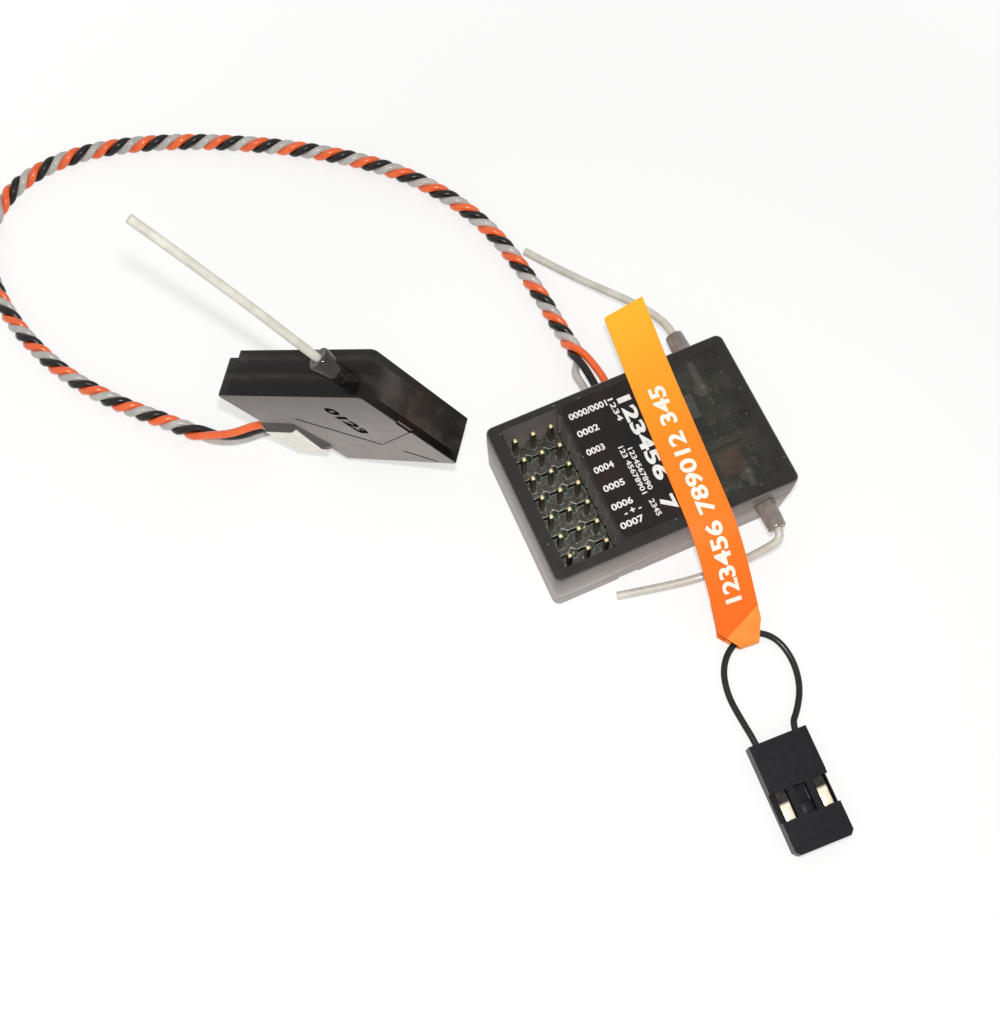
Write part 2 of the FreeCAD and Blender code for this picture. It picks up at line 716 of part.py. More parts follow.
# Antenna boots: a round sleeve outside the wall, a neck in the wall's hole and a flange behind it.
def makeBoot(label, wall, innerRadius="sizes.antenna_diameter / 2 + sizes.boot_gap"):
    """Stands at its own origin on the outer face of the wall, pointing along +Z."""
    body = newBody(label)
    profile = newSketch(body, "XZ_Plane", f"{label}_profile")
    flangeTop = f"-({wall} + sizes.boot_gap)"
    outline(
        profile,
        [
            (innerRadius, f"{flangeTop} - sizes.boot_flange_length"),
            (linked("boot_flange"), f"{flangeTop} - sizes.boot_flange_length"),
            (linked("boot_flange"), flangeTop),
            (linked("boot_neck"), flangeTop),
            (linked("boot_neck"), linked("boot_gap")),
            (linked("boot_radius"), linked("boot_gap")),
            (linked("boot_radius"), "sizes.boot_length - sizes.boot_edge"),
            ("sizes.boot_radius - sizes.boot_edge", linked("boot_length")),
            (innerRadius, linked("boot_length")),
        ],
    )
    turned = body.newObject("PartDesign::Revolution", f"{label}_turned")
    turned.Profile = profile
    turned.ReferenceAxis = (profile, ["V_Axis"])
    turned.Angle = 360
    document.recompute()
    return body


def makeFlaredBoot(label, wall, direction):
    """A neck and flange like the plain boot's, with a sleeve that leans over and widens to its end."""
    gap = "sizes.boot_gap"
    flange = document.addObject("Part::Cylinder", f"{label}_flange")
    flange.setExpression("Radius", linked("boot_flange"))
    flange.setExpression("Height", linked("boot_flange_length"))
    flange.setExpression(".Placement.Base.z", f"-({wall} + {gap} + sizes.boot_flange_length)")
    neck = document.addObject("Part::Cylinder", f"{label}_seat")
    neck.setExpression("Radius", linked("boot_neck"))
    neck.setExpression("Height", f"{wall} + 3 * {gap}")
    neck.setExpression(".Placement.Base.z", f"-({wall} + {gap})")
    sleeve = document.addObject("Part::Cone", f"{label}_sleeve")
    sleeve.setExpression("Radius1", "sizes.boot_neck + 0.1")
    sleeve.setExpression("Radius2", linked("remote_boot_flare"))
    sleeve.setExpression("Height", "sizes.boot_length + sizes.remote_boot_root")
    lean = FreeCAD.Rotation(FreeCAD.Vector(0, 0, 1), direction)
    root = lean.multVec(FreeCAD.Vector(0, 0, -size("remote_boot_root")))
    sleeve.Placement = FreeCAD.Placement(root, lean)
    outside = document.addObject("Part::Box", f"{label}_outside")
    half = 2 * size("boot_length")
    outside.Length, outside.Width, outside.Height = 2 * half, 2 * half, 2 * half
    outside.Placement = FreeCAD.Placement(FreeCAD.Vector(-half, -half, size("boot_gap")), FreeCAD.Rotation())
    trimmed = document.addObject("Part::MultiCommon", f"{label}_trimmed")
    trimmed.Shapes = [sleeve, outside]
    whole = document.addObject("Part::MultiFuse", f"{label}_whole")
    whole.Shapes = [flange, neck, trimmed]
    whole.Refine = True
    bore = document.addObject("Part::Cylinder", f"{label}_bore")
    bore.setExpression("Radius", "sizes.antenna_diameter / 2 + sizes.boot_gap")
    reach = size("boot_length") + size("boot_bore_reach")
    bore.Height = 2 * reach
    bore.Placement = FreeCAD.Placement(lean.multVec(FreeCAD.Vector(0, 0, -reach)), lean)
    sleeved = document.addObject("Part::Cut", f"{label}_bored")
    sleeved.Base = whole
    sleeved.Tool = bore
    holder = document.addObject("Part::Compound", label)
    holder.Label = label
    holder.Links = [sleeved]
    document.recompute()
    return holder


# Remote receiver: modelled flat with its logo side up, then tipped into its pose.
remoteHalfX = "(sizes.remote_length / 2)"
remoteHalfY = "(sizes.remote_width / 2)"
remoteInnerX = "(sizes.remote_length / 2 - sizes.remote_wall)"
remoteInnerY = "(sizes.remote_width / 2 - sizes.remote_wall)"


def remoteBlock(body, name, low, height):
    flat = newSketch(body, "XY_Plane", name, low)
    box(flat, f"-{remoteHalfX}", remoteHalfX, f"-{remoteHalfY}", remoteHalfY)
    block = grow(body, "Pad", flat, height)
    return soften(body, "Fillet", block, edgesWhere(block, upright), linked("remote_corner"))


def remoteOpening(body):
    """A raised ridge with sloped sides round the lead's socket, and the corner cut away for it."""
    ridge = newSketch(body, "XY_Plane", "SocketRidge", linked("remote_height"))
    right = f"(sizes.remote_socket_depth - sizes.remote_socket_out - {remoteHalfX})"
    upper = "(sizes.remote_socket_y + sizes.remote_socket_width / 2)"
    lower = "(sizes.remote_socket_y - sizes.remote_socket_width / 2)"
    foot = "sizes.ridge_foot"
    left = f"-{remoteHalfX} - sizes.ridge_foot"
    bent = f"{right} + {foot} / 3"
    corners = [(left, lower), (bent, lower), (f"{right} + {foot}", f"{lower} + {foot}")]
    outline(ridge, corners + [(bent, f"{upper} + {foot}"), (left, f"{upper} + {foot}")])
    raised = grow(body, "Pad", ridge, linked("ridge_height"))
    raised.setExpression("TaperAngle", "-sizes.ridge_taper * 1 deg")
    document.recompute()
    trim = newSketch(body, "XY_Plane", "RidgeTrim", "sizes.remote_height + 2")
    box(trim, f"{left} - 1", f"-{remoteHalfX}", f"{lower} - 1", f"{upper} + {foot} + 1")
    grow(body, "Pocket", trim, "sizes.remote_skin + 2")
    opening = newSketch(body, "XY_Plane", "SocketOpening", "sizes.remote_height + 2")
    gap = "sizes.remote_socket_gap"
    box(opening, f"{left} - 1", f"{right} + {gap}", f"-{remoteHalfY} - 1", f"{upper} + {gap}")
    return grow(body, "Pocket", opening, f"sizes.remote_height + 2 - {remoteBoardTop}")


def remoteAntennaHoles(body):
    for plane, x, offset, back in (
        ("Upper", "remote_antenna_upper", f"-{remoteHalfY} - 1", True),
        ("Lower", "remote_antenna_lower", f"{remoteHalfY} + 1", False),
    ):
        hole = newSketch(body, "XZ_Plane", f"{plane}Hole", offset)
        circle(hole, linked(x), linked("remote_antenna_height"), "sizes.boot_neck + sizes.boot_gap")
        grow(body, "Pocket", hole, "sizes.remote_wall + 1.3", back=back)


def groove(sketch, start, end, width):
    """A straight groove between two pairs of formulas, drawn as a thin lozenge at 45 degrees."""
    (x1, y1), (x2, y2) = start, end
    side = f"{width} * 0.35"
    outline(
        sketch,
        [(f"{x1} - {side}", f"{y1} - {side}"), (f"{x2} - {side}", f"{y2} - {side}"),
         (f"{x2} + {side}", f"{y2} + {side}"), (f"{x1} + {side}", f"{y1} + {side}")],
    )


def makeRemoteTop():
    body = newBody("remote_top")
    block = remoteBlock(body, "TopFlat", linked("remote_seam"), "sizes.remote_height - sizes.remote_seam")
    height = size("remote_height")
    rim = edgesWhere(block, lambda start, end: near(start.z, height) and near(end.z, height))
    soften(body, "Fillet", block, rim[:1], linked("remote_edge"))
    hollow = newSketch(body, "XY_Plane", "TopHollow", linked("remote_seam"))
    box(hollow, f"-{remoteInnerX}", remoteInnerX, f"-{remoteInnerY}", remoteInnerY)
    grow(body, "Pocket", hollow, "sizes.remote_height - sizes.remote_seam - sizes.remote_skin", back=True)
    remoteOpening(body)
    remoteAntennaHoles(body)
    # Engraved lines on the lid: two diagonal grooves in line, a fine one that turns off, a side slot.
    lines = newSketch(body, "XY_Plane", "LidGrooves", "sizes.remote_height + 1")
    corner = ("sizes.groove_corner_x", "sizes.groove_corner_y")
    start = ("sizes.groove_start_x", "sizes.groove_start_y")
    groove(lines, start, corner, linked("groove_width"))
    tailStart = ("sizes.groove_corner_x + sizes.groove_gap", "sizes.groove_corner_y - sizes.groove_gap")
    tailEnd = (f"{tailStart[0]} + sizes.groove_tail", f"{tailStart[1]} - sizes.groove_tail")
    groove(lines, tailStart, tailEnd, linked("groove_width"))
    slotX = f"{remoteHalfX} - sizes.side_slot_width"
    slotLow = "sizes.side_slot_y - sizes.side_slot_length / 2"
    slotHigh = "sizes.side_slot_y + sizes.side_slot_length / 2"
    box(lines, slotX, f"{remoteHalfX} + 1", slotLow, slotHigh)
    hair = "sizes.hairline_width"
    hairX, hairEndX = f"{corner[0]} + {hair}", f"{slotX} + {hair} / 2"
    hairEndY = f"{slotLow} + {hair} / 2"
    upperSide = [(hairEndX, f"{hairEndY} + {hair}"), (hairX, f"{corner[1]} + {hair}")]
    outline(lines, [(hairX, corner[1]), (hairEndX, hairEndY)] + upperSide)
    grow(body, "Pocket", lines, "sizes.groove_depth + 1")
    return body


def makeRemoteBase():
    body = newBody("remote_base")
    remoteBlock(body, "BaseFlat", "0", linked("remote_seam"))
    hollow = newSketch(body, "XY_Plane", "BaseHollow", linked("remote_skin"))
    box(hollow, f"-{remoteInnerX}", remoteInnerX, f"-{remoteInnerY}", remoteInnerY)
    grow(body, "Pocket", hollow, "sizes.remote_seam", back=True)
    remoteAntennaHoles(body)
    # A ledge inside carries the board, and the long edge below it is cut back.
    ledge = newSketch(body, "XY_Plane", "Ledge", linked("remote_skin"))
    ledgeEnd = f"sizes.remote_step + sizes.remote_wall - {remoteHalfX}"
    box(ledge, f"-{remoteInnerX} - 0.1", ledgeEnd, f"-{remoteInnerY} - 0.1", f"{remoteInnerY} + 0.1")
    grow(body, "Pad", ledge, "sizes.remote_board_height - sizes.remote_skin")
    step = newSketch(body, "XZ_Plane", "SideStep")
    box(step, f"-{remoteHalfX} - 1", f"sizes.remote_step - {remoteHalfX}", "-1", linked("remote_step_height"))
    grow(body, "Pocket", step, "sizes.remote_width * 1.5", middle=True)
    posts = newSketch(body, "XY_Plane", "RemotePosts", linked("remote_skin"))
    postX, postY = (f"({inner} - sizes.remote_post_inset)" for inner in (remoteInnerX, remoteInnerY))
    for x in (f"-{postX}", postX):
        for y in (f"-{postY}", postY):
            circle(posts, x, y, linked("remote_post_radius"))
    grow(body, "Pad", posts, "sizes.remote_board_height - sizes.remote_skin")
    return body


def remotePlacement():
    """Where the remote receiver's own frame, at the middle of its underside, stands."""
    rotation = FreeCAD.Rotation(size("remote_yaw"), size("remote_pitch"), size("remote_roll"))
    middle = FreeCAD.Vector(size("remote_x"), size("remote_y"), size("remote_z"))
    return FreeCAD.Placement(middle, rotation)


def onRemote(body, x=0.0, y=0.0, z=0.0, turn=FreeCAD.Rotation()):
    """Carries a piece from the remote receiver's flat frame to where it stands."""
    body.Placement = remotePlacement() * FreeCAD.Placement(FreeCAD.Vector(x, y, z), turn)
    return body


def makeRemote():
    boardTopNow = size("remote_board_height") + size("board_thickness")
    onRemote(makeRemoteTop())
    onRemote(makeRemoteBase())
    gap = "sizes.remote_board_gap"
    board = makeBoard(
        "remote_board",
        f"-{remoteInnerX} + {gap}",
        f"{remoteInnerX} - {gap} - sizes.boot_flange_length",
        f"-{remoteInnerY} + {gap} + sizes.boot_flange_length",
        f"{remoteInnerY} - {gap} - sizes.boot_flange_length",
        linked("remote_board_height"),
    )
    onRemote(board)
    carried = {
        "remote_chip": (("chip_x", "chip_y"), ("chip_size", "chip_size"), "chip_height"),
        "remote_crystal": (
            ("remote_crystal_x", "remote_crystal_y"), ("crystal_length", "crystal_width"), "crystal_height"),
        "remote_lamp": (("remote_lamp_x", "remote_lamp_y"), ("lamp_width", "lamp_length"), "lamp_height"),
    }
    for label, (spot, sides, rise) in carried.items():
        onRemote(makeBlock(label, spot, sides, remoteBoardTop, rise))
    outward = FreeCAD.Rotation(FreeCAD.Vector(0, 0, 1), 90)
    mouthX = -size("remote_length") / 2 - size("remote_socket_out")
    onRemote(makeSocket("remote_socket", "remote_"), mouthX, size("remote_socket_y"), boardTopNow, outward)
    onRemote(makePlug("remote_lead_plug", "remote_"), mouthX, size("remote_socket_y"), boardTopNow, outward)
    halfWidth = size("remote_width") / 2
    height = size("remote_antenna_height")
    upperTurn = FreeCAD.Rotation(FreeCAD.Vector(1, 0, 0), -90)
    lowerTurn = FreeCAD.Rotation(FreeCAD.Vector(1, 0, 0), 90)
    leaning = FreeCAD.Vector(size("remote_antenna_lean"), -size("remote_antenna_dip"), 1)
    upperBoot = makeFlaredBoot("remote_boot_upper", linked("remote_wall"), leaning)
    onRemote(upperBoot, size("remote_antenna_upper"), halfWidth, height, upperTurn)
    lowerBoot = makeBoot("remote_boot_lower", linked("remote_wall"))
    onRemote(lowerBoot, size("remote_antenna_lower"), -halfWidth, height, lowerTurn)


# Bind plug: a servo plug with three contact windows, two contacts and a wire loop between them.
bindLength = "sizes.bind_length"


def bindPlacement(x=0.0, y=0.0, z=0.0):
    """The bind plug's frame: x across, y back towards the wire end, z up, origin at its wire end."""
    turn = FreeCAD.Rotation(FreeCAD.Vector(0, 0, 1), size("bind_yaw"))
    corner = FreeCAD.Vector(size("bind_x"), size("bind_y"), 0)
    return FreeCAD.Placement(corner, turn) * FreeCAD.Placement(FreeCAD.Vector(x, y, z), FreeCAD.Rotation())


def makeBindHousing():
    body = newBody("bind_housing")
    side = newSketch(body, "YZ_Plane", "BindSide")
    step = "sizes.bind_height - sizes.bind_step_height"
    upper = [("0", "0"), ("0", linked("bind_height")), ("-sizes.bind_step", linked("bind_height"))]
    outline(side, upper + [("-sizes.bind_step", step), (f"-{bindLength}", step), (f"-{bindLength}", "0")])
    block = grow(body, "Pad", side, linked("bind_width"), middle=True)
    length = size("bind_length")
    front = edgesWhere(block, lambda start, end: upright(start, end) and near(start.y, -length))
    soften(body, "Chamfer", block, front, linked("bind_corner"))
    bores = newSketch(body, "XZ_Plane", "PinBores", f"{bindLength} + 1")
    for column in range(pinsPerRow):
        x = f"sizes.pin_spacing * {column - 1}"
        half = "sizes.bind_bore / 2"
        middle = "sizes.bind_height / 2"
        box(bores, f"{x} - {half}", f"{x} + {half}", f"{middle} - {half}", f"{middle} + {half}")
    grow(body, "Pocket", bores, f"{bindLength} - sizes.contact_start + 1")
    wires = newSketch(body, "XZ_Plane", "WireBores", "-1")
    for side in (-1, 1):
        circle(wires, f"sizes.pin_spacing * {side}", "sizes.bind_height / 2", "sizes.bind_wire_bore / 2")
    grow(body, "Pocket", wires, "sizes.contact_start + 1.2", back=True)
    windows = newSketch(body, "XY_Plane", "ContactWindows", "sizes.bind_height + 1")
    windowEnd = "-sizes.bind_window_start - sizes.bind_window_length"
    for column in range(pinsPerRow):
        x = f"sizes.pin_spacing * {column - 1}"
        half = "sizes.bind_window_width / 2"
        box(windows, f"{x} - {half}", f"{x} + {half}", windowEnd, "-sizes.bind_window_start")
    grow(body, "Pocket", windows, "sizes.bind_height / 2 + 1")
    ribs = newSketch(body, "XY_Plane", "SideRibs", "sizes.bind_height / 2")
    for side in (-1, 1):
        inner = f"{side} * (sizes.bind_width / 2 - sizes.bind_rib)"
        outer = f"{side} * (sizes.bind_width / 2 + 1)"
        left, right = (inner, outer) if side > 0 else (outer, inner)
        box(ribs, left, right, windowEnd, "-sizes.bind_window_start")
    grow(body, "Pocket", ribs, "sizes.bind_height", back=True)
    body.Placement = bindPlacement()
    return body


def makeContact(label, side):
    """A box contact of folded sheet, crimped to the wire's end."""
    body = newBody(label)
    ring = newSketch(body, "XZ_Plane", f"{label}_ring", linked("contact_start"))
    x = f"sizes.pin_spacing * {side}"
    middle = "sizes.bind_height / 2"
    outer = "sizes.contact_side / 2 + sizes.contact_sheet / 2"
    inner = "sizes.contact_side / 2 - sizes.contact_sheet / 2"
    for half in (outer, inner):
        box(ring, f"{x} - ({half})", f"{x} + {half}", f"{middle} - ({half})", f"{middle} + {half}")
    grow(body, "Pad", ring, linked("contact_length"))
    body.Placement = bindPlacement()
    return body


# Cords: a round tube along straight runs joined by tangent arcs.
def tubePath(points):
    """The path's edges and the radii of its arcs."""
    edges, radii = [], []
    start = points[0]
    for n in range(1, len(points) - 1):
        before, corner, after = points[n - 1], points[n], points[n + 1]
        incoming = (corner - before).normalize()
        outgoing = (after - corner).normalize()
        turn = incoming.getAngle(outgoing)
        reach = 0.45 * min(before.distanceToPoint(corner), corner.distanceToPoint(after))
        radii.append(reach / math.tan(turn / 2))
        entry = corner - incoming * reach
        exit = corner + outgoing * reach
        toCentre = (outgoing - incoming).normalize()
        centre = corner + toCentre * (reach / math.sin(turn / 2))
        middle = centre - toCentre * radii[-1]
        edges.append(Part.LineSegment(start, entry).toShape())
        edges.append(Part.Arc(entry, middle, exit).toShape())
        start = exit
    edges.append(Part.LineSegment(start, points[-1]).toShape())
    return edges, radii


def makeCord(label, route, diameter):
    """One plain tube, and a line that says how tight its turns are."""
    points = [FreeCAD.Vector(*point) for point in route]
    edges, radii = tubePath(points)
    wire = Part.Wire(edges)
    section = Part.Wire([Part.Circle(points[0], points[1] - points[0], diameter / 2).toShape()])
    tube = wire.makePipeShell([section], True, False)
    expected = math.pi * diameter ** 2 / 4 * wire.Length
    if abs(tube.Volume / expected - 1) > 0.01:
        raise ValueError(f"{label}: volume {tube.Volume:.2f}, section times length {expected:.2f}")
    turns = [round(radius, 1) for radius in radii]
    print(f"{label}: {wire.Length:.1f} mm long, diameter {diameter}, bend radii {turns}")
    cord = document.addObject("Part::Feature", label)
    cord.Label = label
    cord.Shape = tube
    cord.Placement = FreeCAD.Placement()
    return cord


def remotePoint(x, y, z):
    return tuple(remotePlacement().multVec(FreeCAD.Vector(x, y, z)))


def makeAntennas():
    diameter = size("antenna_diameter")
    solder = size("antenna_solder")
    x = size("case_length") / 2 - size("antenna_inset")
    z = size("seam_high")
    frontRoute = [
        (x, -solder, z),
        (x + 0.02, -10.6, z),
        (x, -13.6, z + 0.01),
        (x - 0.02, -16.4, z),
        (9.9, -16.5, 4.6),
        (6.4, -16.3, 2.9),
        (1.9, -15.9, 1.6),
        (-3.6, -14.8, 1.0),
        (-9.1, -13.5, 0.8),
    ]
    makeCord("antenna_front", frontRoute, diameter)
    rearRoute = [
        (x, solder, z),
        (x + 0.02, 10.3, z),
        (x, 13.4, z + 0.01),
        (x + 0.01, 16.6, z + 0.03),
        (11.1, 19.9, 6.0),
        (9.1, 23.2, 5.4),
        (6.1, 27.9, 4.1),
        (3.1, 32.7, 3.1),
        (0.4, 37.3, 2.4),
    ]
    makeCord("antenna_rear", rearRoute, diameter)
    inner = size("remote_antenna_solder")
    height = size("remote_antenna_height")
    halfWidth = size("remote_width") / 2
    upperX, lowerX = size("remote_antenna_upper"), size("remote_antenna_lower")
    lean, dip = size("remote_antenna_lean"), size("remote_antenna_dip")

    def alongBoot(reach, aside=0.0):
        return remotePoint(upperX + lean * reach + aside, halfWidth + reach, height + dip * reach)

    upperRoute = [
        alongBoot(-inner),
        alongBoot(0, 0.01),
        alongBoot(5.0),
        alongBoot(12.0, 0.25),
        alongBoot(20.0, 0.3),
        alongBoot(28.1),
    ]
    makeCord("remote_antenna_upper", upperRoute, diameter)
    lowerRoute = [
        remotePoint(lowerX, inner - halfWidth, height),
        remotePoint(lowerX + 0.02, 0.5 - halfWidth, height),
        remotePoint(lowerX, -halfWidth - 3.0, height + 0.01),
        remotePoint(lowerX, -halfWidth - 5.6, height),
        (-23.5, 15.8, 1.2),
        (-27.0, 20.6, 0.7),
        (-31.2, 26.0, 0.65),
        (-37.0, 31.6, 0.6),
        (-43.0, 36.0, 0.65),
    ]
    makeCord("remote_antenna_lower", lowerRoute, diameter)


def makeLead():
    diameter = size("lead_diameter")
    plugReach = size("plug_length") - size("socket_depth") + size("socket_back") + size("plug_seat")
    midHeight = size("socket_height") / 2
    mainX = size("socket_centre")
    mainY = size("case_width") / 2 - size("case_wall") + plugReach
    mainZ = size("board_height") + size("board_thickness") + midHeight
    inSocket = size("remote_socket_depth") - size("socket_back") - size("plug_seat")
    remoteReach = size("remote_plug_length") - inSocket
    remoteZ = size("remote_board_height") + size("board_thickness") + size("remote_socket_height") / 2
    plugX = -size("remote_length") / 2 - size("remote_socket_out") - remoteReach
    remoteY = size("remote_socket_y")
    route = [
        (mainX, mainY, mainZ),
        (mainX, mainY + size("lead_straight"), mainZ),
        (0.1, 23.0, 1.7),
        (-0.4, 33.5, 1.25),
        (-2.8, 45.6, 1.25),
        (-9.3, 56.6, 1.3),
        (-18.9, 65.2, 1.25),
        (-30.4, 72.4, 1.3),
        (-41.4, 77.7, 1.25),
        (-52.4, 80.8, 1.3),
        (-61.6, 80.2, 1.25),
        (-67.6, 76.2, 1.3),
        (-70.8, 70.0, 1.25),
        (-71.0, 62.8, 1.3),
        (-69.6, 55.4, 1.25),
        (-66.1, 47.0, 1.3),
        (-61.0, 40.0, 1.25),
        (-55.2, 34.1, 1.3),
        (-50.6, 29.3, 1.7),
        (-47.0, 27.0, 2.8),
        remotePoint(plugX - size("remote_lead_straight"), remoteY, remoteZ),
        remotePoint(plugX, remoteY, remoteZ),
    ]
    makeCord("lead", route, diameter)


def makeBindLoop():
    middle = size("bind_height") / 2
    spacing = size("pin_spacing")
    inside = -size("contact_start")

    def atPlug(x, y):
        return tuple(bindPlacement().multVec(FreeCAD.Vector(x, y, middle)))

    route = [
        atPlug(-spacing, inside),
        atPlug(-spacing, inside + 3.0),
        (-1.8, -34.4, 0.95),
        (-1.9, -30.9, 0.7),
        (-0.9, -27.5, 0.7),
        (1.5, -25.3, 0.85),
        (5.0, -24.9, 0.9),
        (7.2, -26.9, 0.8),
        (7.8, -30.2, 0.7),
        (7.0, -33.6, 0.8),
        (5.1, -36.2, 1.15),
        atPlug(spacing, inside + 3.3),
        atPlug(spacing, inside),
    ]
    makeCord("bind_loop", route, size("wire_diameter"))


def makeTag():
    """A strip of film that lies over the case, runs down in front and folds round the wire loop."""
    body = newBody("pull_tag")
    side = newSketch(body, "YZ_Plane", "TagSide")
    top = "(sizes.case_height + sizes.label_film - sizes.label_recess + sizes.tag_lift)"
    film = "sizes.tag_film"
    halfCase = "sizes.case_width / 2"
    under = [
        ("sizes.tag_rear", f"{top} + sizes.tag_rear_rise"),
        (f"{halfCase} + 1.5", f"{top} + 0.2"),
        ("0", top),
        (f"-{halfCase} + 0.2", top),
        (f"-{halfCase} - 2.5", f"{top} - 0.6"),
        (f"-{halfCase} - 6.5", f"{top} - 3.2"),
        (f"-{halfCase} - 10.5", f"{top} - 6.6"),
        (f"-{halfCase} - 13", f"{top} - 8.5"),
        ("sizes.tag_fold_y", f"{top} - 8.9"),
    ]
    over = [(y, f"{z} + {film}") for y, z in reversed(under)]
    outline(side, under + over)
    strip = grow(body, "Pad", side, linked("tag_width"), middle=True)
    # The free end is cut at a slant.
    slant = newSketch(body, "XY_Plane", "TagSlant", "sizes.case_height + 5")
    half = "sizes.tag_width / 2"
    beyond = "sizes.tag_rear + 1"
    cut = [(f"-{half}", "sizes.tag_rear - sizes.tag_slant"), (half, "sizes.tag_rear - sizes.tag_lift")]
    outline(slant, cut + [(half, beyond), (f"-{half}", beyond)])
    strip = grow(body, "Pocket", slant, linked("tag_width"))
    rear = size("tag_rear") - 2 * size("tag_slant")
    corners = edgesWhere(
        strip,
        lambda start, end: near(start.x, end.x) and near(start.y, end.y) and start.y > rear,
    )
    soften(body, "Fillet", strip, corners, linked("tag_corner"))
    turn = FreeCAD.Rotation(FreeCAD.Vector(0, 0, 1), -size("tag_yaw"))
    body.Placement = FreeCAD.Placement(FreeCAD.Vector(size("tag_x"), 0, 0), turn)
    return body


def makeReceiver():
    makeTopShell()
    makeBottomShell()
    makeLabel()
    makeMainBoard()
    makeRadioBoard()
    for row in range(rowCount):
        makeStrip(row)
        makePins(row)
    spot = (f"({linkStart} + sizes.link_depth / 2)", "0")
    between = f"({radioBoardBottom} - {boardTop})"
    makeBlock("board_link", spot, ("link_depth", "link_length"), boardTop, between, chamfered=False)
    spot = (f"({stripEnd} + sizes.processor_along + sizes.processor_size / 2)", "-sizes.processor_forward")
    makeBlock("processor", spot, ("processor_size", "processor_size"), boardTop, "processor_height")
    spot = (f"({linkStart} - sizes.regulator_along - sizes.regulator_width / 2)", "-sizes.regulator_forward")
    makeBlock("regulator", spot, ("regulator_width", "regulator_length"), boardTop, "regulator_height")
    makeCapacitor()
    spot = (f"({innerX} - sizes.radio_chip_along)", "-sizes.radio_chip_forward")
    makeBlock("radio_chip", spot, ("radio_chip_size", "radio_chip_size"), radioBoardTop, "radio_chip_height")
    spot = (f"({innerX} - sizes.shield_along)", "shield_back")
    makeBlock("radio_shield", spot, ("shield_length", "shield_width"), radioBoardTop, "shield_height")
    spot = (f"({innerX} - sizes.crystal_along)", "-sizes.crystal_forward")
    makeBlock("crystal", spot, ("crystal_length", "crystal_width"), radioBoardTop, "crystal_height")
    spot = (f"({innerX} - sizes.lamp_along)", "-sizes.lamp_forward")
    makeBlock("status_lamp", spot, ("lamp_length", "lamp_width"), radioBoardTop, "lamp_height")
    boardTopNow = size("board_height") + size("board_thickness")
    mouth = FreeCAD.Vector(size("socket_centre"), size("case_width") / 2 - size("case_wall"), boardTopNow)
    makeSocket("lead_socket").Placement = FreeCAD.Placement(mouth, FreeCAD.Rotation())
    makePlug("lead_plug").Placement = FreeCAD.Placement(mouth, FreeCAD.Rotation())
    side = size("case_width") / 2
    for label, y, angle in (("boot_front", -side, 90), ("boot_rear", side, -90)):
        spot = FreeCAD.Vector((size("case_length") / 2 - size("antenna_inset")), y, size("seam_high"))
        turn = FreeCAD.Rotation(FreeCAD.Vector(1, 0, 0), angle)
        makeBoot(label, linked("case_wall")).Placement = FreeCAD.Placement(spot, turn)


def makeBindPlug():
    makeBindHousing()
    makeContact("bind_contact_left", -1)
    makeContact("bind_contact_right", 1)
    makeBindLoop()
    makeTag()


makeReceiver()
makeRemote()
makeAntennas()
makeLead()
makeBindPlug()
document.recompute()


def handedOver():
    """The pieces that are written, by label."""
    kept = []
    for item in document.Objects:
        if item.isDerivedFrom("PartDesign::Body") or item.isDerivedFrom("Part::Compound"):
            kept.append(item)
        elif item.TypeId == "Part::Feature":
            kept.append(item)
    return kept


def checkModel():
    for item in document.Objects:
        if "Invalid" in item.State or "Error" in item.State:
            raise ValueError(f"{item.Label}: {item.State}")
    for item in handedOver():
        if item.Shape.isNull() or not item.Shape.isValid():
            raise ValueError(f"{item.Label}: no valid shape")


checkModel()
os.makedirs("parts", exist_ok=True)
for piece in handedOver():
    piece.Shape.exportStep(f"parts/{piece.Label}.step")
print(f"{len(handedOver())} pieces written")
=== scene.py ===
import math

import bpy
from mathutils import Euler, Matrix, Vector


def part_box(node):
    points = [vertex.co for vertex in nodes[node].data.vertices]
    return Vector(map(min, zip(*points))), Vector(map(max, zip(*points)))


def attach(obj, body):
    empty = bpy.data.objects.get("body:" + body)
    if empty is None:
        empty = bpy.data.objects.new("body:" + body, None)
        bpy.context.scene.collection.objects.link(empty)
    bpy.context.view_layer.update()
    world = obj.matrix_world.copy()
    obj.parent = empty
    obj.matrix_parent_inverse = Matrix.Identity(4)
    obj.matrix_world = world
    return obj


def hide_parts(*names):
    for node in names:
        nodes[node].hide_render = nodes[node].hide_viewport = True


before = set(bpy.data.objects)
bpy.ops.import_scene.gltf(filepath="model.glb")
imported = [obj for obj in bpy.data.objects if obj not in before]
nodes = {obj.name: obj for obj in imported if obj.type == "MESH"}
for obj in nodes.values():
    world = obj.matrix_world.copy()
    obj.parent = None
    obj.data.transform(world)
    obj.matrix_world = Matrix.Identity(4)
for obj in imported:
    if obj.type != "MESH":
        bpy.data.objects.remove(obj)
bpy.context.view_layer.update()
mm = 0.001
print("frame loaded,", len(nodes), "nodes")


# selecting and finishing meshes

def setMode(mode):
    bpy.ops.object.mode_set(mode=mode)


def clearSelection():
    if bpy.context.object and bpy.context.object.mode != "OBJECT":
        setMode("OBJECT")
    bpy.ops.object.select_all(action="DESELECT")


def selectOnly(piece):
    clearSelection()
    piece.select_set(True)
    bpy.context.view_layer.objects.active = piece


def selectAll():
    bpy.ops.mesh.select_all(action="SELECT")


def endMesh():
    # leaves edit mode with every face turned outwards
    selectAll()
    bpy.ops.mesh.normals_make_consistent(inside=False)
    setMode("OBJECT")


def settle(piece, name):
    # leaves the object at the origin with its place in the mesh
    selectOnly(piece)
    bpy.ops.object.transform_apply(location=True, rotation=True, scale=True)
    piece.name = name
    piece.data.name = name
    return piece


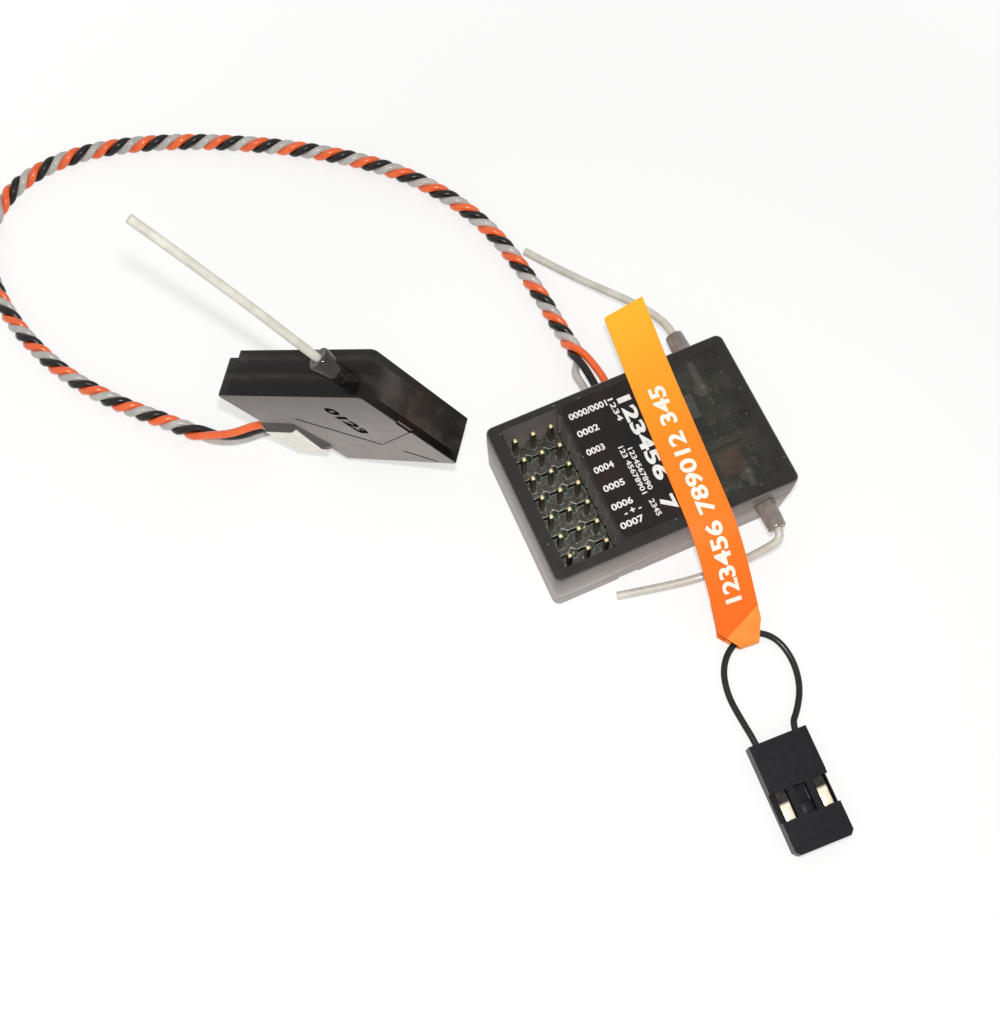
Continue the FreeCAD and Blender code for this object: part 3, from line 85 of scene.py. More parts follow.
def startPick(piece, kind):
    selectOnly(piece)
    setMode("EDIT")
    bpy.ops.mesh.select_mode(type=kind)
    bpy.ops.mesh.select_all(action="DESELECT")
    setMode("OBJECT")


def pickFaces(piece, test):
    # edit mode is left on, with only the faces that pass selected
    startPick(piece, "FACE")
    for face in piece.data.polygons:
        face.select = bool(test(face))
    setMode("EDIT")


def pickPoints(piece, test):
    startPick(piece, "VERT")
    for point in piece.data.vertices:
        point.select = bool(test(point.co))
    setMode("EDIT")


def useModifier(piece, kind, **settings):
    selectOnly(piece)
    modifier = piece.modifiers.new(kind.title(), kind)
    for key, value in settings.items():
        setattr(modifier, key, value)
    bpy.ops.object.modifier_apply(modifier=modifier.name)


def bevel(piece, width, degrees, slot=-1):
    # rounds edges sharper than the degrees, in the material of the slot
    useModifier(
        piece, "BEVEL", width=width * mm, segments=2, limit_method="ANGLE", angle_limit=math.radians(degrees),
        material=slot)


def smooth(piece, degrees):
    selectOnly(piece)
    bpy.ops.object.shade_smooth_by_angle(angle=math.radians(degrees))


def joinAll(pieces, name):
    clearSelection()
    for piece in pieces:
        piece.select_set(True)
    bpy.context.view_layer.objects.active = pieces[0]
    if len(pieces) > 1:
        bpy.ops.object.join()
    return settle(bpy.context.object, name)


def wear(piece, *materials):
    piece.data.materials.clear()
    for material in materials:
        piece.data.materials.append(material)


def carry(piece, slot, *replaced):
    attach(piece, "root")
    if replaced:
        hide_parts(*replaced)


def newObject(name, data):
    piece = bpy.data.objects.new(name, data)
    bpy.context.collection.objects.link(piece)
    return piece


def meshOf(piece):
    # turns a curve or lettering into a mesh
    selectOnly(piece)
    bpy.ops.object.convert(target="MESH")
    return bpy.context.object


def copyOf(piece, matrix, name):
    twin = newObject(name, piece.data.copy())
    twin.data.transform(matrix)
    twin.data.name = name
    return twin


# camera

cameraLook = {
    "place": Vector((-36.903, -49.459, 159.567)) * mm,
    "right": Vector((0.916264, -0.399732, -0.025966)),
    "up": Vector((0.385635, 0.862699, 0.327163)),
    "lens": 43.89,
    "sensor": 36,
    "near": 0.01,
}


def aimCamera(look):
    bpy.ops.object.camera_add()
    camera = bpy.context.object
    back = look["right"].cross(look["up"])
    turn = Matrix((look["right"], look["up"], back)).transposed()
    camera.matrix_world = Matrix.Translation(look["place"]) @ turn.to_4x4()
    camera.data.sensor_width = look["sensor"]
    camera.data.lens = look["lens"]
    camera.data.clip_start = look["near"]
    bpy.context.scene.camera = camera


aimCamera(cameraLook)


# nodes of materials

def put(tree, kind, inputs=None, **settings):
    node = tree.nodes.new("ShaderNode" + kind)
    for key, value in settings.items():
        setattr(node, key, value)
    for key, value in (inputs or {}).items():
        if isinstance(value, bpy.types.NodeSocket):
            tree.links.new(value, node.inputs[key])
        else:
            node.inputs[key].default_value = value
    return node


def startMaterial(name):
    material = bpy.data.materials.new(name)
    material.use_nodes = True
    tree = material.node_tree
    return material, tree, tree.nodes["Principled BSDF"]


def shade(red, green, blue):
    # a colour as read off a picture, made linear
    def linear(value):
        value /= 255
        return value / 12.92 if value <= 0.04045 else ((value + 0.055) / 1.055) ** 2.4
    return (linear(red), linear(green), linear(blue), 1)


def objectSpot(tree):
    return put(tree, "TexCoord").outputs["Object"]


def speckle(tree, spot, size, detail, roughness=0.5):
    # cloudy noise whose blotches are about size metres wide
    inputs = {"Vector": spot, "Scale": 1 / size, "Detail": detail, "Roughness": roughness}
    return put(tree, "TexNoise", inputs).outputs["Fac"]


def between(tree, factor, first, second, low=0.35, high=0.65):
    ramp = put(tree, "ValToRGB", {"Fac": factor})
    ramp.color_ramp.elements[0].position = low
    ramp.color_ramp.elements[0].color = first
    ramp.color_ramp.elements[1].position = high
    ramp.color_ramp.elements[1].color = second
    return ramp.outputs["Color"]


def ranged(tree, value, fromLow, fromHigh, toLow, toHigh):
    inputs = {
        "Value": value, "From Min": fromLow, "From Max": fromHigh, "To Min": toLow, "To Max": toHigh}
    return put(tree, "MapRange", inputs).outputs["Result"]


def blend(tree, factor, first, second):
    node = put(tree, "Mix", data_type="RGBA")
    for socket, value in ((node.inputs[0], factor), (node.inputs[6], first), (node.inputs[7], second)):
        if isinstance(value, bpy.types.NodeSocket):
            tree.links.new(value, socket)
        else:
            socket.default_value = value
    return node.outputs[2]


def times(tree, first, second):
    return put(tree, "Math", {0: first, 1: second}, operation="MULTIPLY").outputs[0]


def biggest(tree, first, second):
    return put(tree, "Math", {0: first, 1: second}, operation="MAXIMUM").outputs[0]


def inside(tree, value, low, high, soft):
    # 1 between two places in mm, falling to 0 over the soft width
    rise = ranged(tree, value, low * mm, (low + soft) * mm, 0, 1)
    fall = ranged(tree, value, (high - soft) * mm, high * mm, 1, 0)
    return times(tree, rise, fall)


def dent(tree, bsdf, height, depth, strength=1.0):
    bump = put(tree, "Bump", {"Height": height, "Distance": depth, "Strength": strength})
    tree.links.new(bump.outputs["Normal"], bsdf.inputs["Normal"])


def roughen(tree, bsdf, noise, low, high):
    tree.links.new(ranged(tree, noise, 0.3, 0.7, low, high), bsdf.inputs["Roughness"])


def cellSpots(tree, spot, gap, randomness):
    # distance to the nearest of points strewn about gap mm apart
    cells = {"Vector": spot, "Scale": 1 / (gap * mm), "Randomness": randomness}
    return put(tree, "TexVoronoi", cells).outputs["Distance"]


def plainFinish(name, tone, otherTone, cloud, grain, depth, rough, settings):
    # two close tones, a fine grain and a roughness that wanders
    material, tree, bsdf = startMaterial(name)
    spot = objectSpot(tree)
    base = between(tree, speckle(tree, spot, cloud * mm, 4), shade(*tone), shade(*otherTone))
    tree.links.new(base, bsdf.inputs["Base Color"])
    fine = speckle(tree, spot, grain * mm, 3, 0.6)
    roughen(tree, bsdf, fine, rough * 0.8, rough * 1.2)
    dent(tree, bsdf, fine, depth * mm)
    bsdf.inputs["Coat Roughness"].default_value = 0.1
    for socket, value in settings.items():
        bsdf.inputs[socket].default_value = value
    return material


# pose of the remote receiver, the same numbers as its solids

remotePose = {
    "middle": Vector((-30.44, 21.83, 14.92)),
    "yaw": -39.95,
    "pitch": -29.07,
    "roll": 94.8,
}
remoteTurn = Euler([math.radians(remotePose[key]) for key in ("roll", "pitch", "yaw")], "XYZ").to_matrix()
remoteMatrix = Matrix.Translation(remotePose["middle"] * mm) @ remoteTurn.to_4x4()


def onRemote(x, y, z):
    return tuple(remoteTurn @ Vector((x, y, z)) + remotePose["middle"])


# materials

def roofTone(tree, spot, along, look):
    near = between(tree, speckle(tree, spot, look["cloud"] * mm, 4), look["top"], look["otherTop"])
    far = ranged(tree, along, look["farLow"] * mm, look["farHigh"] * mm, 0, 1)
    return blend(tree, far, near, look["topFar"])


def wallToneWithSheen(tree, spot, height, look):
    # from the tone of the foot to that of the rim, with bands of painted sheen; a light wall tone is painted
    # reflection of the bright floor and lamp
    rise = ranged(tree, height, 0, look["head"] * mm, 0, 1)
    tone = between(tree, rise, look["foot"], look["rim"], *look["fade"])
    flow = put(tree, "Mapping", {"Vector": spot, "Scale": look["smearScale"]}).outputs["Vector"]
    smear = ranged(tree, speckle(tree, flow, look["smear"] * mm, 3), 0.35, 0.65, 0.2, 0.9)
    for low, high in look["sheenBands"]:
        streak = times(tree, inside(tree, height, low, high, look["sheenBandSoft"]), smear)
        tone = blend(tree, streak, tone, look["sheenBandTone"])
    return tone


def windowShare(tree, across, along, height, look):
    # 1 where the plastic lets the inside show
    wide = inside(tree, across, *look["windowAcross"], 0.25)
    deep = inside(tree, along, *look["windowAlong"], look["windowSoft"])
    return times(tree, times(tree, wide, deep), inside(tree, height, *look["windowHeight"], 0.05))


def strokeShare(tree, across, along, stroke, width):
    # 1 on a fine line, given by its two ends across and its place along
    low, high, middle = stroke
    line = inside(tree, along, middle - width / 2, middle + width / 2, 0.04)
    return times(tree, line, inside(tree, across, low, high, 0.05))


def levelShare(tree, normal, look):
    # 1 on faces that lie level in the box, 0 on its walls
    up = put(tree, "VectorMath", {0: normal, 1: look["up"]}, operation="DOT_PRODUCT").outputs["Value"]
    level = put(tree, "Math", {0: up}, operation="ABSOLUTE").outputs[0]
    return ranged(tree, level, *look["levelRange"], 0, 1)


def smokedShell(name, look):
    # smoked clear plastic: dark roof, hazy window and frosted walls; tones differ by facing, and the light
    # grey of frosted faces is painted reflection
    material, tree, bsdf = startMaterial(name)
    coordinates = put(tree, "TexCoord")
    inBox = {"Vector": coordinates.outputs["Object"], "Rotation": look["turn"], "Location": look["shift"]}
    spot = put(tree, "Mapping", inBox).outputs["Vector"]
    across, along, height = put(tree, "SeparateXYZ", {"Vector": spot}).outputs[:]
    flat = levelShare(tree, coordinates.outputs["Normal"], look)
    # roof and walls of one plastic in different tones: painted reflection by facing
    tone = blend(tree, flat, wallToneWithSheen(tree, spot, height, look), roofTone(tree, spot, along, look))
    window = windowShare(tree, across, along, height, look)
    mist = speckle(tree, spot, look["hazeCloud"] * mm, 2)
    tone = blend(tree, window, tone, between(tree, mist, look["haze"], look["otherHaze"], 0.4, 0.6))
    dust = cellSpots(tree, spot, look["dustGap"], 1.0)
    solid = ranged(tree, dust, *look["dustSize"], look["dustShare"], 0)
    tone = blend(tree, solid, tone, look["dust"])
    for stroke in look["strokes"]:
        line = times(tree, strokeShare(tree, across, along, stroke, look["strokeWidth"]), flat)
        tone = blend(tree, line, tone, look["strokeTone"])
        solid = biggest(tree, solid, line)
    tree.links.new(tone, bsdf.inputs["Base Color"])
    body = ranged(tree, flat, 0, 1, look["sideAlpha"], look["topAlpha"])
    see = ranged(tree, window, 0, 1, body, look["windowAlpha"])
    tree.links.new(biggest(tree, see, solid), bsdf.inputs["Alpha"])
    grain = speckle(tree, spot, look["grain"] * mm, 3, 0.6)
    rough = ranged(tree, flat, 0, 1, look["sideRough"], look["topRough"])
    tree.links.new(times(tree, rough, ranged(tree, grain, 0.3, 0.7, 0.8, 1.25)), bsdf.inputs["Roughness"])
    dent(tree, bsdf, grain, look["depth"] * mm)
    bsdf.inputs["Specular IOR Level"].default_value = look["specular"]
    smoke = put(tree, "VolumeAbsorption", {"Color": look["smoke"], "Density": look["density"]})
    tree.links.new(smoke.outputs["Volume"], tree.nodes["Material Output"].inputs["Volume"])
    return material


# places in mm from the middle of each box's floor
caseLook = {
    "up": (0, 0, 1), "turn": (0, 0, 0), "shift": (0, 0, 0),
    "levelRange": (0.75, 0.97),    # how level a face is where roof takes over from wall
    "top": shade(31, 29, 28), "otherTop": shade(42, 39, 37), "cloud": 2.6,
    "topFar": shade(36, 34, 33), "farLow": -9, "farHigh": 9,
    # walls: light grey fading from foot to rim and lighter bands, painted reflection on frosted plastic
    "head": 10.2, "foot": shade(178, 168, 163), "rim": shade(120, 113, 109), "fade": (0.35, 1.0),
    "sheenBands": ((2.0, 4.8),), "sheenBandSoft": 0.5, "sheenBandTone": shade(196, 188, 182),
    "smear": 1.1, "smearScale": (0.25, 0.25, 2.2),
    "windowAcross": (3.95, 15.3), "windowAlong": (-9.75, 9.9), "windowHeight": (9.0, 10.5),
    "windowSoft": 0.25,
    "haze": shade(84, 80, 73), "otherHaze": shade(60, 59, 54), "hazeCloud": 4.0,
    "dust": shade(150, 147, 140), "dustGap": 1.2, "dustSize": (0.05, 0.11), "dustShare": 0.7,
    "strokes": ((8.1, 14.3, -1.75), (7.9, 12.8, -3.3)),    # two fine dark lines in the window
    "strokeWidth": 0.18, "strokeTone": shade(12, 11, 10),
    "sideAlpha": 0.94, "topAlpha": 0.95, "windowAlpha": 0.4,
    "sideRough": 0.42, "topRough": 0.4, "grain": 0.16, "depth": 0.008, "specular": 0.25,
    "smoke": (0.16, 0.14, 0.12, 1), "density": 300,
}
remoteBack = remoteMatrix.inverted()
lidLook = dict(
    caseLook,
    up=tuple(remoteTurn @ Vector((0, 0, 1))),
    turn=tuple(remoteBack.to_euler()),
    shift=tuple(remoteBack.translation),
    # lid: light grey roof fading along the box is painted sheen on frosted plastic; the bands on its dark
    # walls are painted sheen too
    top=shade(152, 145, 141), otherTop=shade(162, 154, 149),
    topFar=shade(112, 106, 103), farLow=-2, farHigh=11,
    head=6.1, foot=shade(32, 29, 28), rim=shade(20, 18, 17), fade=(0.1, 0.9),
    sheenBands=((0.5, 1.7), (2.9, 4.3)), sheenBandTone=shade(58, 53, 48),
    windowAcross=(11.0, 12.2), windowAlong=(-9.6, 8.6), windowSoft=2.2, windowHeight=(1.0, 5.0),
    haze=shade(70, 64, 60), otherHaze=shade(44, 40, 38), dustShare=0.2, strokes=(),
    sideAlpha=0.86, windowAlpha=0.96, sideRough=0.14, topRough=0.42, specular=0.15,
)


def partedMetal(name, look):
    # metal darkened by painted shade before one place along an axis, and bright past it
    material, tree, bsdf = startMaterial(name)
    spot = objectSpot(tree)
    along = put(tree, "SeparateXYZ", {"Vector": spot}).outputs[look["axis"]]
    bright = ranged(tree, along, look["from"] * mm, look["to"] * mm, 0, 1)
    shadedTone = between(tree, speckle(tree, spot, look["cloud"] * mm, 4), *look["shadedTone"])
    tree.links.new(blend(tree, bright, shadedTone, look["bright"]), bsdf.inputs["Base Color"])
    grain = speckle(tree, spot, look["grain"] * mm, 3, 0.6)
    roughen(tree, bsdf, grain, look["rough"] * 0.8, look["rough"] * 1.3)
    dent(tree, bsdf, grain, look["depth"] * mm)
    bsdf.inputs["Metallic"].default_value = 0.9
    return material


# two tones, then size of clouds, size and depth of the grain in mm, roughness, further inputs
plainLooks = {
    "labelFilm": ((15, 13, 15), (38, 24, 22), 6.5, 0.25, 0.003, 0.24, {"Specular IOR Level": 0.22}),
    "whiteInk": ((238, 236, 230), (222, 220, 214), 0.6, 0.12, 0.004, 0.5, {}),
    "tagInk": ((255, 251, 240), (250, 240, 222), 1.2, 0.1, 0.003, 0.45, {}),
    "blackMoulding": ((16, 16, 20), (26, 26, 31), 0.8, 0.09, 0.01, 0.36, {"Specular IOR Level": 0.15}),
    "headerMoulding": ((36, 37, 33), (80, 78, 68), 0.45, 0.14, 0.03, 0.2, {"Specular IOR Level": 0.6}),
    # light grey for the eased edges of the header strips: painted sheen
    "headerEdgeSheen": ((196, 193, 178), (96, 94, 86), 0.35, 0.12, 0.01, 0.22, {}),
    "chipEpoxy": ((38, 37, 37), (54, 52, 50), 0.7, 0.07, 0.008, 0.5, {}),
    "tinned": ((205, 203, 196), (176, 173, 166), 0.6, 0.1, 0.01, 0.27, {"Metallic": 1.0}),
    "copper": ((176, 112, 82), (138, 86, 62), 0.9, 0.1, 0.008, 0.5, {"Metallic": 0.4}),
    "canSkin": ((196, 197, 200), (172, 173, 178), 0.9, 0.08, 0.006, 0.3, {"Metallic": 1.0}),
    "lampLens": ((240, 226, 150), (226, 205, 120), 0.4, 0.1, 0.004, 0.2, {"Coat Weight": 0.5}),
    "tanCeramic": ((172, 138, 98), (150, 116, 82), 0.3, 0.08, 0.006, 0.5, {}),
    "bootRubber": (
        (120, 111, 103), (154, 143, 133), 1.6, 0.5, 0.02, 0.2,
        {"Coat Weight": 0.4, "Alpha": 0.94}),
    "bootSmoke": (
        (30, 27, 26), (46, 42, 40), 1.4, 0.5, 0.02, 0.12,
        {"Coat Weight": 0.2, "Specular IOR Level": 0.3}),
    "solderBright": ((255, 246, 228), (236, 222, 196), 0.5, 0.12, 0.01, 0.25, {"Metallic": 0.2}),
    "antennaJacket": ((216, 212, 200), (198, 193, 182), 1.6, 0.2, 0.01, 0.3, {"Coat Weight": 0.2}),
    "orangeJacket": ((252, 108, 38), (240, 94, 30), 1.4, 0.18, 0.012, 0.28, {"Coat Weight": 0.3}),
    "blackJacket": ((14, 12, 11), (26, 24, 22), 1.1, 0.2, 0.014, 0.22, {"Specular IOR Level": 0.32}),
    "greyJacket": ((196, 191, 184), (178, 173, 167), 1.3, 0.18, 0.012, 0.3, {"Coat Weight": 0.25}),
    "creamNylon": ((252, 250, 238), (242, 239, 224), 1.2, 0.12, 0.008, 0.42, {}),
    "engraving": ((20, 18, 17), (32, 29, 28), 0.8, 0.1, 0.01, 0.7, {"Specular IOR Level": 0.0}),
    "tagFold": ((255, 158, 58), (255, 142, 48), 1.5, 0.11, 0.004, 0.34, {}),
}
partedLooks = {
    # pins: shafts down between the strips darkened with painted shade, tips bright
    "goldPin": {
        "axis": "Z", "from": 8.62, "to": 8.82, "shadedTone": (shade(84, 80, 58), shade(120, 112, 80)),
        "bright": shade(220, 203, 162), "rough": 0.3, "cloud": 0.5, "grain": 0.08, "depth": 0.006},
    # contacts: the part in under the housing is painted shade, the open part bright
    "contactMetal": {
        "axis": "Y", "from": -45.6, "to": -46.0, "shadedTone": (shade(46, 44, 42), shade(66, 62, 58)),
        "bright": shade(252, 240, 214), "rough": 0.2, "cloud": 0.5, "grain": 0.08, "depth": 0.006},
}
finishes = {name: plainFinish(name, *look) for name, look in plainLooks.items()}
for name, look in partedLooks.items():
    finishes[name] = partedMetal(name, look)
finishes["caseSmoke"] = smokedShell("caseSmoke", caseLook)
finishes["remoteSmoke"] = smokedShell("remoteSmoke", lidLook)


boardLook = {
    "mask": (shade(14, 44, 26), shade(22, 58, 34)), "cloud": 1.6,
    "run": 1.1, "runGap": 0.09, "runLength": 1.7, "runRow": 0.42, "runTone": shade(46, 92, 52), "depth": 0.03,
    "via": 1.35, "viaRing": (0.1, 0.14), "viaTone": shade(206, 186, 132),
    "grain": 0.2, "rough": (0.24, 0.36),
}


def boardMask(name, turn, look):
    # solder mask over copper runs, with bare vias
    material, tree, bsdf = startMaterial(name)
    spot = put(tree, "Mapping", {"Vector": objectSpot(tree), "Rotation": turn}).outputs["Vector"]
    bricks = {
        "Vector": spot, "Scale": 1 / (look["run"] * mm), "Mortar Size": look["runGap"], "Mortar Smooth": 0.2,
        "Brick Width": look["runLength"], "Row Height": look["runRow"]}
    runs = put(tree, "TexBrick", bricks).outputs["Fac"]
    mask = between(tree, speckle(tree, spot, look["cloud"] * mm, 3), *look["mask"])
    copperUnder = blend(tree, runs, mask, look["runTone"])
    ring = ranged(tree, cellSpots(tree, spot, look["via"], 0.8), *look["viaRing"], 1, 0)
    tree.links.new(blend(tree, ring, copperUnder, look["viaTone"]), bsdf.inputs["Base Color"])
    tree.links.new(ring, bsdf.inputs["Metallic"])
    dent(tree, bsdf, runs, look["depth"] * mm)
    grain = speckle(tree, spot, look["grain"] * mm, 2)
    roughen(tree, bsdf, grain, *look["rough"])
    return material


finishes["boardGreen"] = boardMask("boardGreen", (0, 0, 0), boardLook)
finishes["remoteGreen"] = boardMask("remoteGreen", tuple(remoteBack.to_euler()), boardLook)


def tagFilm(name, look):
    # printed orange that turns yellow towards the free end
    material, tree, bsdf = startMaterial(name)
    spot = objectSpot(tree)
    along = put(tree, "SeparateXYZ", {"Vector": spot}).outputs["Y"]
    ramp = put(tree, "ValToRGB", {"Fac": ranged(tree, along, look["low"] * mm, look["high"] * mm, 0, 1)})
    first, last = ramp.color_ramp.elements
    first.position, first.color = 0.0, look["lowTone"]
    last.position, last.color = 1.0, look["highTone"]
    middle = ramp.color_ramp.elements.new(look["middle"])
    middle.color = look["middleTone"]
    dots = ranged(tree, speckle(tree, spot, look["dot"] * mm, 2), 0.4, 0.75, 0, look["dotShare"])
    tone = blend(tree, dots, ramp.outputs["Color"], look["dotTone"])
    tree.links.new(tone, bsdf.inputs["Base Color"])
    cloud = speckle(tree, spot, look["cloud"] * mm, 3)
    roughen(tree, bsdf, cloud, *look["rough"])
    dent(tree, bsdf, cloud, look["depth"] * mm, 0.5)
    bsdf.inputs["Specular IOR Level"].default_value = look["specular"]
    return material


tagLook = {
    "low": -27, "high": 20, "middle": 0.55,
    "lowTone": shade(255, 104, 22), "middleTone": shade(255, 132, 18), "highTone": shade(254, 186, 38),
    "dot": 0.11, "dotShare": 0.1, "dotTone": shade(255, 196, 96),
    "cloud": 3.2, "depth": 0.12, "rough": (0.34, 0.46), "specular": 0.28,
}
finishes["tagFilm"] = tagFilm("tagFilm", tagLook)
print("materials made:", len(finishes))


# copies of solids with eased edges

easeLook = {"weld": 0.002, "flat": 0.5, "sharp": 30, "smooth": 40}


def ease(nodeName, slot, width, *materials):
    # the eased edges wear the second material, where there is one; on the header strips that is painted sheen
    piece = newObject(nodeName + "Eased", nodes[nodeName].data.copy())
    selectOnly(piece)
    setMode("EDIT")
    selectAll()
    bpy.ops.mesh.remove_doubles(threshold=easeLook["weld"] * mm)
    bpy.ops.mesh.dissolve_limited(angle_limit=math.radians(easeLook["flat"]))
    setMode("OBJECT")
    wear(piece, *materials)
    bevel(piece, width, easeLook["sharp"], 1 if len(materials) > 1 else -1)
    smooth(piece, easeLook["smooth"])
    useModifier(piece, "WEIGHTED_NORMAL", keep_sharp=True)
    carry(piece, slot, nodeName)


plainDress = {
    "top_shell": "caseSmoke", "bottom_shell": "caseSmoke", "remote_top": "remoteSmoke",
    "remote_base": "remoteSmoke", "label": "labelFilm", "main_board": "boardGreen",
    "radio_board": "boardGreen", "remote_board": "remoteGreen", "capacitor": "canSkin",
    "board_link": "blackMoulding",
    "bind_contact_left": "contactMetal", "bind_contact_right": "contactMetal",
}
for nodeName, finish in plainDress.items():
    wear(nodes[nodeName], finishes[finish])

headerLook = {"strip": 0.13, "pin": 0.05}
# the strips' eased edges wear painted sheen
stripFinishes = (finishes["headerMoulding"], finishes["headerEdgeSheen"])
for row in range(1, 8):
    ease(f"header_strip_{row}", "black_moulding", headerLook["strip"], *stripFinishes)
    ease(f"header_pins_{row}", "gold_metal", headerLook["pin"], finishes["goldPin"])

# slot, finish, width of the eased edge and the nodes
easedGroups = (
    ("chip_body", "chipEpoxy", 0.05, ("processor", "regulator", "remote_chip")),
    ("chip_body", "copper", 0.05, ("radio_chip",)),
    ("bright_metal", "tinned", 0.08, ("radio_shield", "crystal", "remote_crystal")),
    ("lamp_lens", "lampLens", 0.06, ("status_lamp", "remote_lamp")),
    ("cream_nylon", "creamNylon", 0.09, ("lead_socket", "lead_plug", "remote_socket", "remote_lead_plug")),
    ("black_moulding", "blackMoulding", 0.07, ("bind_housing",)),
)
for slot, finish, width, nodeNames in easedGroups:
    for nodeName in nodeNames:
        ease(nodeName, slot, width, finishes[finish])
print("solids dressed")


# cords

def startCurve(name, diameter, resolution):
    line = bpy.data.curves.new(name, "CURVE")
    line.dimensions = "3D"
    line.bevel_depth = diameter / 2 * mm
    line.bevel_resolution = resolution
    line.use_fill_caps = diameter > 0
    return line


def addSpline(line, kind, places):
    spline = line.splines.new(kind)
    spline.points.add(len(places) - 1)
    for control, place in zip(spline.points, places):
        control.co = (*place, 1)
    spline.order_u = 3
    spline.use_endpoint_u = True


def layCurve(name, points, diameter):
    # a smooth spline with the route's points as its control points
    line = startCurve(name, diameter, 6)
    addSpline(line, "NURBS", [Vector(point) * mm for point in points])
    return newObject(name, line)


def trackOf(points):
    # the places along a route's smooth line
    guide = layCurve("guide", points, 0)
    shape = bpy.data.meshes.new_from_object(guide.evaluated_get(bpy.context.evaluated_depsgraph_get()))
    track = [point.co.copy() for point in shape.vertices]
    bpy.data.objects.remove(guide)
    return track


def lengthOf(track):
    return sum((b - a).length for a, b in zip(track, track[1:]))


upperExit = {
    "start": (8.0, 10.3, 3.4),
    "lean": -0.28,    # both for each millimetre out of the wall
    "dip": -0.165,
}


def alongUpper(reach, aside):
    # a place on the line that the raised antenna leaves its box along
    x, y, z = upperExit["start"]
    return onRemote(x + upperExit["lean"] * reach + aside, y + reach, z + upperExit["dip"] * reach)


antennaLook = {
    "diameter": 1.1,
    "front": [
        (12.4, -6.9, 6.35), (12.42, -10.6, 6.35), (12.4, -13.6, 6.36), (12.38, -16.4, 6.35),
        (9.9, -16.5, 4.6), (6.4, -16.3, 2.9), (1.9, -15.9, 1.6), (-3.6, -14.8, 1.0), (-9.1, -13.5, 0.8),
    ],
    "rear": [
        (12.4, 6.9, 6.35), (12.42, 10.3, 6.35), (12.4, 13.4, 6.36), (12.41, 16.6, 6.38),
        (11.1, 19.9, 6.0), (9.1, 23.2, 5.4), (6.1, 27.9, 4.1), (3.1, 32.7, 3.1), (0.4, 37.3, 2.4),
    ],
    "upper": [
        alongUpper(reach, aside)
        for reach, aside in ((-4.8, 0), (0, 0.01), (5.0, 0), (12.0, 0.25), (20.0, 0.3), (28.1, 0))
    ],
    "lower": [
        onRemote(6.3, -5.5, 3.4), onRemote(6.32, -9.8, 3.4), onRemote(6.3, -13.3, 3.41),
        onRemote(6.3, -15.9, 3.4), (-23.5, 15.8, 1.2), (-27.0, 20.6, 0.7), (-31.2, 26.0, 0.65),
        (-37.0, 31.6, 0.6), (-43.0, 36.0, 0.65),
    ],
}


def layAntenna(name, points, node):
    piece = layCurve(name, points, antennaLook["diameter"])
    piece.data.materials.append(finishes["antennaJacket"])
    carry(piece, "antenna_jacket", node)
    lengthOf(trackOf(points))


layAntenna("antennaFront", antennaLook["front"], "antenna_front")
layAntenna("antennaRear", antennaLook["rear"], "antenna_rear")
layAntenna("antennaUpper", antennaLook["upper"], "remote_antenna_upper")
layAntenna("antennaLower", antennaLook["lower"], "remote_antenna_lower")

loopLook = {
    "diameter": 0.85,
    "points": [
        (-1.706, -40.632, 1.3), (-1.57, -37.635, 1.3), (-1.8, -34.4, 0.95), (-1.9, -30.9, 0.7),
        (-0.9, -27.5, 0.7), (1.5, -25.3, 0.85), (5.0, -24.9, 0.9), (7.2, -26.9, 0.8), (7.8, -30.2, 0.7),
        (7.0, -33.6, 0.8), (5.1, -36.2, 1.15), (3.519, -37.566, 1.3), (3.37, -40.863, 1.3),
    ],
}
bindLoop = layCurve("bindLoop", loopLook["points"], loopLook["diameter"])
bindLoop.data.materials.append(finishes["blackJacket"])
carry(bindLoop, "loop_jacket", "bind_loop")
lengthOf(trackOf(loopLook["points"]))

leadLook = {
    "wire": 1.1,         # one jacket
    "diameter": 2.3,     # the three together
    "radius": 0.64,      # from the middle of the rope to the middle of a wire
    "lay": 5.7,          # length of one turn
    "flat": 1.5,         # between wires where they lie side by side at the case
    "flatEnd": 1.15,     # the same at the small box
    "bulge": 0.7,        # of the outer wire beside the case
    "looseStart": (3.5, 12.0),    # where the twist sets in, from each end
    "looseEnd": (8.0, 17.0),
    "fanStart": (2.5, 9.5),       # where the wires come together
    "fanEnd": (5.0, 13.0),
    "step": 0.35,        # between places where the wires are worked out
    "points": [
        (0.25, 11.4, 4.0), (0.25, 16.6, 4.0), (0.1, 23.0, 1.7), (-0.4, 33.5, 1.25), (-2.8, 45.6, 1.25),
        (-9.3, 56.6, 1.3), (-18.9, 65.2, 1.25), (-30.4, 72.4, 1.3), (-41.4, 77.7, 1.25),
        (-52.4, 80.8, 1.3), (-61.6, 80.2, 1.25), (-67.6, 76.2, 1.3), (-70.8, 70.0, 1.25),
        (-71.0, 62.8, 1.3), (-69.6, 55.4, 1.25), (-66.1, 47.0, 1.3), (-61.0, 40.0, 1.25),
        (-55.2, 34.1, 1.3), (-50.6, 29.3, 1.7), (-47.0, 27.0, 2.8), onRemote(-16.15, -3.1, 4.8),
        onRemote(-13.15, -3.1, 4.8),
    ],
}


def evenTrack(track, step):
    # the same line with places at equal steps
    spots, left = [track[0]], step
    for a, b in zip(track, track[1:]):
        run, done = (b - a).length, 0.0
        while run - done >= left:
            done += left
            spots.append(a.lerp(b, done / run))
            left = step
        left -= run - done
    spots.append(track[-1])
    return spots


def easeBetween(value, low, high):
    t = min(max((value - low) / (high - low), 0), 1)
    return t * t * (3 - 2 * t)


def railsOf(track):
    # the direction at each place, and a side that doesn't turn round it
    last = len(track) - 1
    tangents = [(track[min(n + 1, last)] - track[max(n - 1, 0)]).normalized() for n in range(len(track))]
    side = Vector((1, 0, 0))
    sides = []
    for tangent in tangents:
        side = (side - tangent * side.dot(tangent)).normalized()
        sides.append(side)
    return tangents, sides


def placesAlong(track):
    places = [0.0]
    for a, b in zip(track, track[1:]):
        places.append(places[-1] + (b - a).length)
    return places


